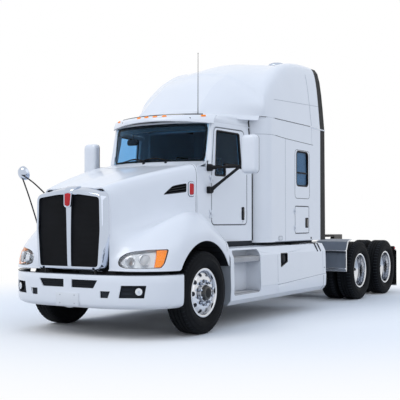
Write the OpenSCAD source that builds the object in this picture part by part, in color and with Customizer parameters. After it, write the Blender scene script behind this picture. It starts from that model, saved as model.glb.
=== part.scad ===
// Semi truck tractor unit with a high-roof sleeper, millimetres.
// The front of the truck faces -Y, its left side is +X, the floor is z = 0.
// Offsets called "back" are measured rearward from the front axle.

/* [Axles and wheels] */
// Outside diameter of every tyre
tyre_d = 1016; // [990:1:1030]
// Section width of every tyre
tyre_w = 290; // [275:1:300]
// Diameter over the flanges of every rim
rim_d = 604; // [596:1:612]
// Front axle to the middle of the two drive axles
wheelbase = 5900; // [5850:10:6400]
// From one drive axle to the other
tandem_spacing = 1320; // [1300:5:1400]
// Middle of one front tyre to the middle of the other
front_track = 2130; // [2110:1:2150]
// Middle of one dual pair to the middle of the other
dual_track = 1818; // [1800:1:1836]
// Middle of one tyre of a dual pair to the middle of the other
dual_spacing = 330; // [322:1:340]
// Middle of a front tyre to its kingpin, across the truck
kingpin_inset = 165; // [160:1:175]
// Diameter of the front axle's kingpins
kingpin_d = 50; // [44:1:54]
// Diameter of the front wheel spindles
spindle_d = 90; // [80:1:96]
// Diameter of the drive axle wheel ends
axle_end_d = 100; // [90:1:110]
// Wheel nuts on every wheel
nut_count = 10; // [8:1:10]
// Diameter of the circle the wheel nuts stand on
nut_circle = 286; // [276:1:290]
// Hand holes in every wheel disc
hand_holes = 10; // [5:1:10]

/* [Frame] */
// Bumper face to the front axle
front_overhang = 1170; // [1150:1:1200]
// Last drive axle to the back of the mud flaps
rear_overhang = 585; // [575:1:640]
// Outside to outside of the frame rails
frame_width = 864; // [850:1:870]
// Height of the rails' top faces
frame_top = 960; // [950:1:975]
// Depth of a rail
rail_height = 260; // [240:1:270]
// Width of a rail's flange
rail_flange = 90; // [80:1:100]
// Thickness of a rail
rail_t = 9; // [7:0.5:11]

/* [Cab] */
// Width of the cab at its back
cab_width = 1900; // [1880:1:1920]
// Width of the cab at the front edges of the doors
cab_front_width = 1700; // [1690:1:1710]
// Width of the cowl at the back of the hood
cowl_width = 1660; // [1650:1:1670]
// Underside of the cab
cab_bottom = 1110; // [1095:1:1125]
// Height where the cab's sides start to lean in
belt_height = 2050; // [2030:1:2070]
// Top of the cab's sides
cab_top = 2720; // [2705:1:2740]
// How far each side leans in from the belt to the top
cab_lean = 58; // [40:1:70]
// Thickness of the cab's sides and doors
cab_wall = 55; // [45:1:60]
// Front of the cowl, behind the hood
cowl_front = 396; // [394:1:410]
// Front edge of the doors
door_front = 716; // [710:1:730]
// Length of a door
door_length = 826; // [810:1:835]
// How far the doors' front edges lean back from the belt to the top
door_rake = 126; // [110:1:140]
// Bottom edge of the doors
door_bottom = 1334; // [1320:1:1350]
// Top edge of the doors
door_top = 2650; // [2635:1:2660]
// Corner radius of the doors
door_corner = 70; // [50:1:90]
// Gap all round a door, a lid or a lamp
panel_gap = 7; // [6:0.5:9]
// Diameter of the hinge pins of the doors and lids
hinge_pin_d = 12; // [10:1:14]

/* [Sleeper] */
// Width of the sleeper
sleeper_width = 2240; // [2220:1:2260]
// Front face of the sleeper
sleeper_front = 1680; // [1670:1:1695]
// Back face of the sleeper
sleeper_back_at = 3380; // [3360:1:3420]
// Underside of the sleeper
sleeper_bottom = 1080; // [1070:1:1095]
// Top of the sleeper's walls, where the roof fairing starts
sleeper_top = 2868; // [2855:1:2880]
// Radius of the sleeper's front corners
sleeper_corner = 280; // [240:1:300]
// Thickness of the sleeper's walls
sleeper_wall = 40; // [30:1:50]
// Height of the roof fairing's highest line
roof_top = 3930; // [3900:1:3960]
// Rear edge of the side extenders' white panels
extender_panel_back = 3665; // [3640:1:3690]
// Rear edge of the side extenders' black trim
extender_back = 3860; // [3830:1:3900]

/* [Hood and bumper] */
// Lower edge of the hood
hood_bottom = 812; // [805:1:820]
// Radius of the front wheel arches
arch_radius = 640; // [632:1:650]
// Thickness of the hood's skin
hood_skin = 16; // [12:1:20]
// Width over the ends of the bumper
bumper_width = 2440; // [2420:1:2460]
// Top edge of the bumper
bumper_top = 765; // [750:1:772]
// Bottom edge of the bumper
bumper_bottom = 372; // [360:1:390]
// Half the width of the bumper's straight middle
bumper_flat = 350; // [330:1:380]
// How far the bumper's ends sweep back
bumper_sweep = 650; // [640:1:655]
// Thickness of the bumper
bumper_skin = 16; // [12:1:20]

/* [Side fairings] */
// Width over the side fairings
fairing_width = 2400; // [2380:1:2410]
// Front end of the side fairings
fairing_front = 640; // [625:1:660]
// Rear end of the side fairings to the first drive axle
fairing_gap = 1540; // [1500:1:1580]
// Lower edge of the side fairings
fairing_bottom = 290; // [275:1:310]
// Top edge of the side fairings
fairing_top = 1040; // [1020:1:1050]
// Thickness of the side fairings
fairing_skin = 14; // [10:1:18]

/* [Fifth wheel] */
// Height of the fifth wheel's top face
fifth_top = 1125; // [1115:1:1140]
// Length of the fifth wheel's plate
fifth_length = 900; // [860:1:940]
// Width of the fifth wheel's plate
fifth_width = 900; // [860:1:940]
// Diameter of the trailer kingpin that the jaws take
trailer_pin_d = 50.8; // [50.8:0.1:51]
// Play round the trailer kingpin, on the radius
trailer_pin_play = 0.1; // [0.05:0.05:0.2]

/* [Hidden] */
$fn = 48;

// Places along the truck
overall_length = front_overhang + wheelbase + tandem_spacing / 2 + rear_overhang;
front_y = front_overhang - overall_length / 2;
drive1 = wheelbase - tandem_spacing / 2;
fairing_back = drive1 - fairing_gap;
kingpin_track = front_track - 2 * kingpin_inset;
drive2 = wheelbase + tandem_spacing / 2;
rail_end = drive2 + rear_overhang - 85;
axle_z = tyre_d / 2;
rail_bottom = frame_top - rail_height;
hw = frame_width / 2;
cab_half = cab_width / 2;
cab_front_half = cab_front_width / 2;
cowl_half = cowl_width / 2;
cab_taper = atan((cab_half - cab_front_half) / (sleeper_front - door_front));
cab_side_length = (sleeper_front - door_front) / cos(cab_taper);
cowl_back = door_front - panel_gap;
cowl_taper = atan((cab_front_half - cowl_half) / (cowl_back - cowl_front));
sleeper_half = sleeper_width / 2;
run = 0.05;
seat = 0.2;

function at(back) = front_y + back;

// Paint and materials of the plain model
c_white = [0.93, 0.93, 0.92];
c_black = [0.08, 0.08, 0.09];
c_rubber = [0.05, 0.05, 0.05];
c_chrome = [0.78, 0.79, 0.8];
c_steel = [0.3, 0.31, 0.33];
c_glass = [0.18, 0.22, 0.28, 0.6];
c_lamp = [0.85, 0.88, 0.9, 0.8];
c_trim = [0.35, 0.34, 0.33];

// Smooth curves through rows of points, and skins of even thickness made from them
function spline(p, q, r, s, t) =
  0.5 * (2 * q + (r - p) * t + (2 * p - 5 * q + 4 * r - s) * t * t + (3 * q - p - 3 * r + s) * t * t * t);
function clampi(i, n) = max(0, min(n - 1, i));
function smooth(pts, per) = [
  for (i = [0 : len(pts) - 2], j = [0 : per - 1])
    spline(pts[clampi(i - 1, len(pts))], pts[i], pts[i + 1], pts[clampi(i + 2, len(pts))], j / per),
  pts[len(pts) - 1]
];
function flip_x(p) = [-p.x, p.y, p.z];
function both_sides(half) = concat(
  [for (i = [len(half) - 1 : -1 : 0]) half[i]],
  [for (i = [1 : len(half) - 1]) flip_x(half[i])]
);
function unit(v) = v / max(norm(v), 0.000001);
function skin_normal(g, r, c) =
  let (nr = len(g), nc = len(g[0]))
  let (along = g[clampi(r + 1, nr)][c] - g[clampi(r - 1, nr)][c])
  let (across = g[r][clampi(c + 1, nc)] - g[r][clampi(c - 1, nc)])
  unit(cross(along, across));

// Skin of even thickness behind a grid of points, rows by columns
module skin(g, t) {
  nr = len(g);
  nc = len(g[0]);
  n = nr * nc;
  outer = [for (row = g) for (p = row) p];
  inner = [for (r = [0 : nr - 1]) for (c = [0 : nc - 1]) g[r][c] - t * skin_normal(g, r, c)];
  rim = concat(
    [for (c = [0 : nc - 2]) c],
    [for (r = [0 : nr - 2]) r * nc + nc - 1],
    [for (c = [nc - 1 : -1 : 1]) (nr - 1) * nc + c],
    [for (r = [nr - 1 : -1 : 1]) r * nc]
  );
  m = len(rim);
  faces = concat(
    [for (r = [0 : nr - 2], c = [0 : nc - 2]) [r * nc + c, r * nc + c + 1, (r + 1) * nc + c + 1]],
    [for (r = [0 : nr - 2], c = [0 : nc - 2]) [r * nc + c, (r + 1) * nc + c + 1, (r + 1) * nc + c]],
    [for (r = [0 : nr - 2], c = [0 : nc - 2]) [n + r * nc + c, n + (r + 1) * nc + c + 1, n + r * nc + c + 1]],
    [for (r = [0 : nr - 2], c = [0 : nc - 2]) [n + r * nc + c, n + (r + 1) * nc + c, n + (r + 1) * nc + c + 1]],
    [for (i = [0 : m - 1]) [rim[(i + 1) % m], rim[i], n + rim[i]]],
    [for (i = [0 : m - 1]) [rim[(i + 1) % m], n + rim[i], n + rim[(i + 1) % m]]]
  );
  polyhedron(points = concat(outer, inner), faces = faces, convexity = 6);
}

// Small helpers: boxes by their limits, bars along an axis, side-view plates
module box(x0, x1, b0, b1, z0, z1) {
  translate([x0, at(b0), z0])
    cube([x1 - x0, b1 - b0, z1 - z0]);
}
module bar_x(x0, x1, b, z, d) {
  translate([x0, at(b), z])
    rotate([0, 90, 0])
      cylinder(d = d, h = x1 - x0);
}
module bar_y(x, b0, b1, z, d) {
  translate([x, at(b0), z])
    rotate([-90, 0, 0])
      cylinder(d = d, h = b1 - b0);
}
module post(x, b, z0, z1, d) {
  translate([x, at(b), z0])
    cylinder(d = d, h = z1 - z0);
}
// A side-view outline, drawn as [back, height], made into a plate between two x
module side_plate(x0, x1) {
  translate([x0, front_y, 0])
    rotate([90, 0, 90])
      linear_extrude(x1 - x0)
        children();
}
// A front-view outline, drawn as [x, height], made into a plate between two offsets
module front_plate(b0, b1) {
  translate([0, at(b1), 0])
    rotate([90, 0, 0])
      linear_extrude(b1 - b0)
        children();
}
module left_and_right() {
  children();
  mirror([1, 0, 0])
    children();
}
module rounded(x0, x1, y0, y1, r) {
  translate([x0 + r, y0])
    square([x1 - x0 - 2 * r, y1 - y0]);
  translate([x0, y0 + r])
    square([x1 - x0, y1 - y0 - 2 * r]);
  for (x = [x0 + r, x1 - r], y = [y0 + r, y1 - r])
    translate([x, y])
      circle(r);
}

// Outline with every corner rounded, from its corner points
function corner_arc(a, b, c, r) =
  let (u = unit(a - b), v = unit(c - b))
  let (half = acos(max(-1, min(1, u * v))) / 2)
  let (mid = b + unit(u + v) * r / sin(half), p = b + u * r / tan(half), q = b + v * r / tan(half))
  let (from = atan2(p.y - mid.y, p.x - mid.x), to = atan2(q.y - mid.y, q.x - mid.x))
  let (turn = (to - from + 540) % 360 - 180)
  [for (i = [0 : 5]) mid + r * [cos(from + turn * i / 5), sin(from + turn * i / 5)]];
function soft(pts, r) = [
  for (i = [0 : len(pts) - 1])
    each corner_arc(pts[(i + len(pts) - 1) % len(pts)], pts[i], pts[(i + 1) % len(pts)], r)
];

// Places on the tapered side of the cab: x out from the skin, y rearward from the door's front edge
module on_side() {
  translate([cab_front_half, at(door_front), 0])
    rotate([0, 0, -cab_taper])
      children();
}
// Places on the side of the cowl: x out from the skin, y rearward from the cowl's back
module on_cowl() {
  translate([cab_front_half, at(cowl_back), 0])
    rotate([0, 0, -cowl_taper])
      children();
}
// An outline [x, height] drawn out along y, and an outline [y, height] drawn out along x
module along_y(y0, y1) {
  translate([0, y1, 0])
    rotate([90, 0, 0])
      linear_extrude(y1 - y0)
        children();
}
module along_x(x0, x1) {
  translate([x0, 0, 0])
    rotate([90, 0, 90])
      linear_extrude(x1 - x0)
        children();
}
module block(x0, x1, y0, y1, z0, z1) {
  translate([x0, y0, z0])
    cube([x1 - x0, y1 - y0, z1 - z0]);
}
module pin(x, y, z0, z1, d) {
  translate([x, y, z0])
    cylinder(d = d, h = z1 - z0);
}

// Frame: two channel rails and the cross members between their webs
module rail() {
  front_plate(rail_front, rail_end)
    difference() {
      translate([hw - rail_flange, rail_bottom])
        square([rail_flange, rail_height]);
      translate([hw - rail_flange - 1, rail_bottom + rail_t])
        square([rail_flange - rail_t + 1, rail_height - 2 * rail_t]);
    }
}
rail_front = -front_overhang + 155;
horn_top = rail_bottom + 70;
lug_x = hw - 50;
// Front horn of a rail, with the lug and the pin that the hood tilts on
module horn() {
  box(hw - 80, hw - 10, -front_overhang + 35, rail_front + 10, rail_bottom, horn_top);
  box(lug_x - 10, lug_x + 10, hood_pivot_back - 12, hood_pivot_back + 12, rail_bottom + 10, hood_pivot_z);
  bar_x(lug_x - 10, lug_x + 10, hood_pivot_back, hood_pivot_z, 24);
  bar_x(lug_x - 40, lug_x + 40, hood_pivot_back, hood_pivot_z, hood_pin_d);
}
// Tow socket beside the front of a rail, open to the front
tow_x = hw + 113;
tow_z = 542;
tow_bore = 50;
module tow_socket() {
  difference() {
    union() {
      box(hw - 40, tow_x + 45, -front_overhang + 170, -front_overhang + 182, tow_z - 45, rail_bottom + 120);
      bar_y(tow_x, -front_overhang + 62, -front_overhang + 182, tow_z, 78);
    }
    bar_y(tow_x, -front_overhang + 40, -front_overhang + 190, tow_z, tow_bore);
  }
}
cross_members = [-front_overhang + 335, 1500, 2400, 3500, drive1 - 420, wheelbase, rail_end - 70];
// Cab mounts on the rails, columns: how far back, height of the floor that rests there
cab_mounts = [[cowl_front + 150, cab_bottom], [sleeper_back_at - 260, sleeper_bottom]];
mount_pad = 34;
module frame() {
  color(c_black) {
    left_and_right() {
      rail();
      horn();
      tow_socket();
      for (m = cab_mounts) {
        box(hw - 76, hw, m[0], m[0] + 110, frame_top - 1, m[1] - mount_pad);
        post(hw - 40, m[0] + 55, m[1] - mount_pad - 1, m[1] - seat, 64);
      }
    }
    for (b = cross_members)
      difference() {
        box(-hw + rail_t, hw - rail_t, b, b + 70, rail_bottom + 30, frame_top - 30);
        box(-hw, hw, b + 8, b + 71, rail_bottom + 38, frame_top - 38);
        box(-110, 110, b - 1, b + 71, rail_bottom, rail_bottom + 100);
      }
  }
}

// Front axle: a dropped beam with a kingpin in each eye, and its leaf springs
eye_half = 52;
ear_gap = 6;
ear_h = 55;
beam_top = axle_z - 53;
spring_half = 640;
spring_rise = 120;
spring_r = (spring_half * spring_half + spring_rise * spring_rise) / (2 * spring_rise);
module front_axle() {
  kx = kingpin_track / 2;
  color(c_steel) {
    translate([0, front_y + 45, 0])
      rotate([90, 0, 0])
        linear_extrude(90)
          polygon([
            [-kx, axle_z - eye_half], [-kx, axle_z + eye_half], [-kx + 75, axle_z + eye_half],
            [-kx + 200, beam_top], [kx - 200, beam_top], [kx - 75, axle_z + eye_half],
            [kx, axle_z + eye_half], [kx, axle_z - eye_half], [kx - 60, axle_z - eye_half],
            [kx - 180, beam_top - 90], [-kx + 180, beam_top - 90], [-kx + 60, axle_z - eye_half]
          ]);
    left_and_right() {
      post(kx, 0, axle_z - eye_half, axle_z + eye_half, 110);
      post(kx, 0, axle_z - eye_half - ear_gap - ear_h, axle_z + eye_half + ear_gap + ear_h, kingpin_d);
    }
  }
  color(c_black)
    left_and_right()
      intersection() {
        box(hw - 85, hw - 5, -spring_half - 60, spring_half + 60, beam_top, rail_bottom);
        union() {
          side_plate(hw - 90, hw)
            difference() {
              translate([0, beam_top + 20 + spring_r])
                circle(spring_r, $fn = 180);
              translate([0, beam_top + 64 + spring_r])
                circle(spring_r, $fn = 180);
              translate([-2 * spring_r, beam_top + 200])
                square([4 * spring_r, 3 * spring_r]);
            }
          box(hw - 85, hw - 5, -70, 70, beam_top, beam_top + 62);
          for (s = [-1, 1])
            box(hw - 85, hw - 5, s * spring_half - 45, s * spring_half + 45, beam_top + 110, rail_bottom);
        }
      }
}

// Steered knuckles, with the arms that the tie rod joins
arm_back = 190;
stud_d = 24;
tie_z = axle_z - eye_half - ear_gap - ear_h - 30;
module knuckle() {
  kx = kingpin_track / 2;
  low = axle_z - eye_half - ear_gap - ear_h;
  high = axle_z + eye_half + ear_gap;
  difference() {
    union() {
      for (z = [low, high]) {
        post(kx, 0, z, z + ear_h, 116);
        box(kx, kx + 110, -50, 50, z, z + ear_h);
      }
      box(kx + 62, kx + 110, -58, 58, low, high + ear_h);
      box(kx - 25, kx + 25, 40, arm_back + 26, low, low + 40);
    }
    post(kx, 0, low - 1, high + ear_h + 1, kingpin_d + 2 * run);
  }
  post(kx, arm_back, tie_z - 26, low + 10, stud_d);
  bar_x(kx + 100, front_track / 2 + 118, 0, axle_z, spindle_d);
}
module knuckle_left() {
  color(c_steel)
    knuckle();
}
module knuckle_right() {
  color(c_steel)
    mirror([1, 0, 0])
      knuckle();
}
module tie_rod() {
  kx = kingpin_track / 2;
  color(c_steel)
    difference() {
      union() {
        bar_x(-kx + 20, kx - 20, arm_back, tie_z, 38);
        for (s = [-1, 1])
          post(s * kx, arm_back, tie_z - 24, tie_z + 24, 58);
      }
      for (s = [-1, 1])
        post(s * kx, arm_back, tie_z - 25, tie_z + 25, stud_d + 2 * run);
    }
}

// Tyres and wheels are turned about the x axis: [radius, distance from the tyre's middle]
module turned(x, b) {
  translate([x, at(b), axle_z])
    rotate([0, 90, 0])
      rotate_extrude($fn = 96)
        children();
}
groove = 11;
groove_depth = 13;
grooves = [-78, -28, 28, 78];
rim_half = tyre_w / 2 - 41;
module tyre_profile() {
  r1 = tyre_d / 2;
  r0 = rim_d / 2 - 18 + seat;
  r2 = rim_d / 2 + 3;
  w = tyre_w / 2;
  bead = rim_half - seat;
  difference() {
    polygon([
      [r0, -bead], [r2, -bead], [r2 + 34, -w + 10], [r2 + 84, -w], [r1 - 70, -w + 6], [r1 - 20, -w + 22],
      [r1 - 5, -w + 36], [r1, -w + 60], [r1, w - 60], [r1 - 5, w - 36], [r1 - 20, w - 22],
      [r1 - 70, w - 6], [r2 + 84, w], [r2 + 34, w - 10], [r2, bead], [r0, bead]
    ]);
    for (g = grooves)
      translate([r1 - groove_depth, g - groove / 2])
        square([groove_depth + 1, groove]);
  }
}
module rim_profile() {
  r = rim_d / 2;
  translate([r - 34, -rim_half - 1])
    square([16, 2 * rim_half + 2]);
  for (s = [-1, 1])
    translate([r - 34, s > 0 ? rim_half : -rim_half - 12])
      square([34, 12]);
}
module front_disc_profile() {
  r = rim_d / 2 - 20;
  polygon([[r, 30], [r, 62], [205, 106], [108, 106], [108, 82], [196, 82], [262, 30]]);
}
module front_hub_profile() {
  b = spindle_d / 2 + run;
  polygon([[b, -48], [100, -48], [100, 84], [112, 84], [112, 132], [88, 168], [0, 176], [0, 126], [b, 126]]);
}
module front_drum_profile() {
  polygon([[186, -118], [212, -118], [212, 70], [98, 80], [98, 56], [186, 50]]);
}
module wheel_cuts(x, b, x0, x1) {
  for (i = [0 : hand_holes - 1])
    translate([x, at(b), axle_z])
      rotate([360 / hand_holes * (i + 0.5), 0, 0])
        translate([x0, 0, 230])
          rotate([0, 90, 0])
            cylinder(d = 58, h = x1 - x0);
}
module wheel_nuts(x, b, x0, x1, d) {
  for (i = [0 : nut_count - 1])
    translate([x, at(b), axle_z])
      rotate([360 / nut_count * i, 0, 0])
        translate([x0, 0, nut_circle / 2])
          rotate([0, 90, 0])
            cylinder(d = d, h = x1 - x0);
}
module front_tyre(x) {
  color(c_rubber)
    turned(x, 0)
      tyre_profile();
}
module front_wheel(x) {
  color(c_chrome) {
    difference() {
      turned(x, 0) {
        rim_profile();
        front_disc_profile();
        front_hub_profile();
        front_drum_profile();
      }
      wheel_cuts(x, 0, 20, 120);
    }
    wheel_nuts(x, 0, 100, 166, 34);
  }
}
module tyre_front_left() {
  front_tyre(front_track / 2);
}
module tyre_front_right() {
  mirror([1, 0, 0])
    front_tyre(front_track / 2);
}
module wheel_front_left() {
  front_wheel(front_track / 2);
}
module wheel_front_right() {
  mirror([1, 0, 0])
    front_wheel(front_track / 2);
}

// Dual pairs: the two discs meet at the hub's face
module dual_disc_profile() {
  r = rim_d / 2 - 20;
  m = dual_spacing / 2;
  polygon([[r, m - 62], [r, m - 30], [214, 24], [108, 24], [108, -1], [202, -1], [262, m - 62]]);
}
module dual_hub_profile() {
  b = axle_end_d / 2 + run;
  polygon([[b, -240], [112, -240], [112, 60], [96, 66], [96, 78], [50, 92], [0, 96], [0, 24], [b, 24]]);
}
module dual_drum_profile() {
  polygon([[186, -278], [212, -278], [212, -70], [110, -50], [110, -72], [186, -92]]);
}
module dual_tyres(b) {
  color(c_rubber)
    for (s = [-1, 1])
      turned(dual_track / 2 + s * dual_spacing / 2, b)
        tyre_profile();
}
module dual_wheels(b) {
  x = dual_track / 2;
  color(c_chrome) {
    difference() {
      turned(x, b) {
        for (s = [-1, 1])
          translate([0, s * dual_spacing / 2])
            rim_profile();
        dual_disc_profile();
        mirror([0, 1])
          dual_disc_profile();
        dual_hub_profile();
        dual_drum_profile();
      }
      wheel_cuts(x, b, -dual_spacing / 2, dual_spacing / 2);
    }
    wheel_nuts(x, b, 20, 58, 33);
  }
}
module tyres_drive1_left() {
  dual_tyres(drive1);
}
module tyres_drive1_right() {
  mirror([1, 0, 0])
    dual_tyres(drive1);
}
module tyres_drive2_left() {
  dual_tyres(drive2);
}
module tyres_drive2_right() {
  mirror([1, 0, 0])
    dual_tyres(drive2);
}
module wheels_drive1_left() {
  dual_wheels(drive1);
}
module wheels_drive1_right() {
  mirror([1, 0, 0])
    dual_wheels(drive1);
}
module wheels_drive2_left() {
  dual_wheels(drive2);
}
module wheels_drive2_right() {
  mirror([1, 0, 0])
    dual_wheels(drive2);
}

// Drive axles: housing, carrier and wheel ends
tube_d = 150;
module drive_axles() {
  inner = dual_track / 2 - 300;
  color(c_steel)
    for (b = [drive1, drive2]) {
      bar_x(-inner, inner, b, axle_z, tube_d);
      bar_x(-dual_track / 2 - 14, dual_track / 2 + 14, b, axle_z, axle_end_d);
      for (s = [-1, 1])
        bar_x(s * (inner - 8) - 8, s * (inner - 8) + 8, b, axle_z, 340);
      bar_y(0, b - 110, b + 120, axle_z, 420);
      bar_y(0, b - 330, b + 1, axle_z + 30, 220);
      bar_y(0, b + 100, b + 260, axle_z + 30, 150);
    }
}

// Rear suspension: trailing arms with their hangers, and air springs under the rails
arm_top = axle_z + 160;
pad_top = axle_z - 20;
module rear_suspension() {
  color(c_black)
    left_and_right()
      for (b = [drive1, drive2]) {
        difference() {
          union() {
            side_plate(hw - 82, hw - 4)
              translate([b, 0])
                polygon([
                  [-560, arm_top - 90], [-560, rail_bottom], [-440, rail_bottom], [-440, arm_top],
                  [90, arm_top], [230, pad_top], [480, pad_top], [480, pad_top - 55], [200, pad_top - 55],
                  [95, axle_z + 60], [95, axle_z], [-95, axle_z], [-95, arm_top - 90]
                ]);
          }
          bar_x(hw - 100, hw + 20, b, axle_z, tube_d + 2 * seat);
        }
        post(hw - 43, b + 352, pad_top, rail_bottom, 220);
      }
}

// Engine block with its radiator in front
module engine() {
  color(c_steel) {
    box(-300, 300, -600, 262, rail_bottom - 60, 1050);
    box(-250, 250, -560, 240, 1050, 1640);
    box(-220, 220, -480, 120, axle_z + 70, rail_bottom - 60);
  }
  color(c_black)
    box(-420, 420, -1000, -880, frame_top, 1690);
}
module driveline() {
  z1 = rail_bottom + 20;
  color(c_steel) {
    bar_y(0, 262, 640, z1 + 60, 480);
    bar_y(0, 640, 1250, z1 + 30, 380);
    bar_y(0, 1250, 1320, z1, 160);
    slope = atan((z1 - axle_z - 30) / (drive1 - 333.6 - 1320));
    length = (drive1 - 333.6 - 1320) / cos(slope);
    translate([0, at(1320), z1])
      rotate([-90 - slope, 0, 0])
        cylinder(d = 110, h = length);
    bar_y(0, drive1 + 260.3, drive2 - 330.3, axle_z + 30, 100);
  }
}

// Fuel tanks under the cab's rear half and the sleeper
tank_d = 600;
module fuel_tanks() {
  color(c_chrome)
    left_and_right() {
      bar_y(hw + tank_d / 2 + 30, fairing_front + 1110, fairing_back - 130, 660, tank_d);
      for (b = [fairing_front + 1400, fairing_back - 500])
        box(hw + 0.1, hw + 60, b, b + 80, rail_bottom + 10, frame_top - 30);
    }
}

// Side fairings with two steps each
step_front = fairing_front + 70;
step_back = fairing_front + 830;
// Tops of the two steps, and the planks' height
step_z = [434, 906];
step_h = 70;
filler_front = fairing_front + 1444;
module side_fairings() {
  o = fairing_width / 2;
  color(c_white)
    left_and_right()
      for (b = [step_front - 14, step_back + 2, fairing_back - 60]) {
        front_plate(b, b + 12)
          polygon([
            [o - 60, fairing_bottom + 8], [o - 18, fairing_bottom + 64], [o - 8, fairing_bottom + 195],
            [o - 16, fairing_top - 132], [o - 74, fairing_top - 20], [o - 330, fairing_top - 20], [o - 330, fairing_bottom + 80]
          ]);
        box(hw + 0.1, o - 320, b, b + 12, rail_bottom + 40, frame_top - 40);
      }
  color(c_white)
    left_and_right()
      difference() {
        front_plate(fairing_front, fairing_back)
          polygon([
            [o - 60, fairing_bottom], [o - 12, fairing_bottom + 60], [o - 4, fairing_bottom + 190], [o, fairing_bottom + 200],
            [o - 10, fairing_top - 130], [o - 70, fairing_top - 15], [o - 220, fairing_top],
            [o - 220, fairing_top - fairing_skin], [o - 78, fairing_top - 15 - fairing_skin],
            [o - 10 - fairing_skin, fairing_top - 136], [o - fairing_skin, fairing_bottom + 200],
            [o - 4 - fairing_skin, fairing_bottom + 190], [o - 12 - fairing_skin, fairing_bottom + 64],
            [o - 60, fairing_bottom + fairing_skin]
          ]);
        side_plate(o - 110, o + 10)
          rounded(step_front, step_back, step_z[0] - step_h / 2, fairing_top - 30, 60);
        side_plate(o - 110, o + 10)
          rounded(filler_front, filler_front + 230, 710, 923, 30);
      }
  color(c_white)
    left_and_right()
      box(o - 250, o - 238, step_front - 1.8, step_back + 1.8, step_z[0] - step_h, fairing_top - 20);
  color(c_chrome)
    left_and_right()
      for (z = step_z)
        box(o - 249, o - 30, step_front - 1.8, step_back + 1.8, z - step_h, z);
}

// Bumper: a skin swept along a straight middle and two quarter ellipses
bumper_front = -front_overhang + 5;
bumper_bow = bumper_width / 2 - bumper_flat;
bumper_section = [
  [bumper_top, 16], [bumper_top - 14, 0], [bumper_bottom + 190, 0], [bumper_bottom + 60, 6],
  [bumper_bottom + 24, 22], [bumper_bottom, 66]
];
function bumper_point(a, inset) =
  let (s = a < 0 ? -1 : 1)
  let (n = unit([bumper_sweep * sin(a), -bumper_bow * cos(a)]))
  [s * bumper_flat + bumper_bow * sin(a) - inset * n.x, at(bumper_front + bumper_sweep * (1 - cos(a))) - inset * n.y];
bumper_angles = concat([for (i = [12 : -1 : 0]) 7.5 * i], [for (i = [0 : 12]) -7.5 * i - (i == 0 ? 0.001 : 0)]);
bumper_grid = [
  for (a = bumper_angles)
    [for (p = bumper_section) let (q = bumper_point(a, p[1])) [q.x, q.y, p[0]]]
];
// Columns: half-width range at the top, at the bottom, then the heights of bottom and top
bumper_openings = [
  [64, 440, 64, 385, 612, 702],
  [484, 606, 484, 578, 505, 580],
  [740, 990, 712, 970, 508, 648]
];
module bumper_cut(o, grow) {
  hull()
    for (p = [[o[0], o[5]], [o[1], o[5]], [o[2], o[4]], [o[3], o[4]]])
      translate([p[0], at(bumper_front - 30), p[1]])
        rotate([-90, 0, 0])
          cylinder(r = 8 + grow, h = 700, $fn = 12);
}
module bumper() {
  color(c_white)
    difference() {
      skin(bumper_grid, bumper_skin);
      for (o = bumper_openings)
        left_and_right()
          bumper_cut(o, 0);
    }
  color(c_white)
    box(-176, 176, bumper_front - 5, bumper_front + 0.4, 394, 546);
}
// Dark inserts in the vents and tow holes, and the fog lamps in the outer holes
insert_grid = [
  for (a = bumper_angles)
    [for (z = [bumper_top - 40, bumper_bottom + 40]) let (q = bumper_point(a, 5)) [q.x, q.y, z]]
];
module bumper_patch(o) {
  intersection() {
    skin(insert_grid, 9);
    bumper_cut(o, -0.3);
  }
}
module bumper_inserts() {
  color(c_black)
    left_and_right() {
      bumper_patch(bumper_openings[0]);
      difference() {
        bumper_patch(bumper_openings[1]);
        box(tow_x - tow_bore / 2 - 7, tow_x + tow_bore / 2 + 7, -front_overhang - 30, -front_overhang + 100,
          tow_z - 2 * tow_bore, tow_z + 2 * tow_bore);
      }
    }
}
module fog_lamps() {
  color(c_lamp)
    left_and_right()
      bumper_patch(bumper_openings[2]);
}
module tail_lamps() {
  color([0.7, 0.1, 0.08])
    for (s = [-1, 1])
      for (i = [0 : 1])
        translate([s * (210 + 150 * i), at(rail_end - 62), rail_bottom + 130])
          rotate([-90, 0, 0])
            cylinder(d = 104, h = 24);
}

// Fifth wheel: base on the rails, and the plate that pitches on two pins
fifth_at = wheelbase + 60;
fifth_pin_z = fifth_top - 75;
fifth_pin_d = 50;
module fifth_wheel_base() {
  color(c_black) {
    box(-hw, hw, fifth_at - 300, fifth_at + 300, frame_top, frame_top + 16);
    left_and_right()
      difference() {
        union() {
          box(hw - 100, hw - 10, fifth_at - 90, fifth_at + 90, frame_top + 15, fifth_pin_z - 10);
          bar_x(hw - 100, hw - 60, fifth_at, fifth_pin_z, 60);
          box(hw - 100, hw - 60, fifth_at - 30, fifth_at + 30, frame_top + 15, fifth_pin_z);
        }
        box(hw - 60, hw, fifth_at - 100, fifth_at + 100, frame_top + 30, fifth_top);
      }
    left_and_right()
      bar_x(hw - 61, hw - 6, fifth_at, fifth_pin_z, fifth_pin_d);
  }
}
module fifth_outline() {
  w = fifth_width / 2;
  l = fifth_length / 2;
  throat = trailer_pin_d / 2 + trailer_pin_play;
  difference() {
    polygon([
      [-w + 120, -l], [w - 120, -l], [w - 30, -l + 130], [w, -l + 330], [w, l - 180], [w - 110, l],
      [150, l], [150, l], [-150, l], [-w + 110, l], [-w, l - 180], [-w, -l + 330], [-w + 30, -l + 130]
    ]);
    circle(throat, $fn = 64);
    translate([-throat, 0])
      square([2 * throat, l + 1]);
    polygon([[-throat, 90], [-150, l + 1], [150, l + 1], [throat, 90]]);
  }
}
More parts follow.
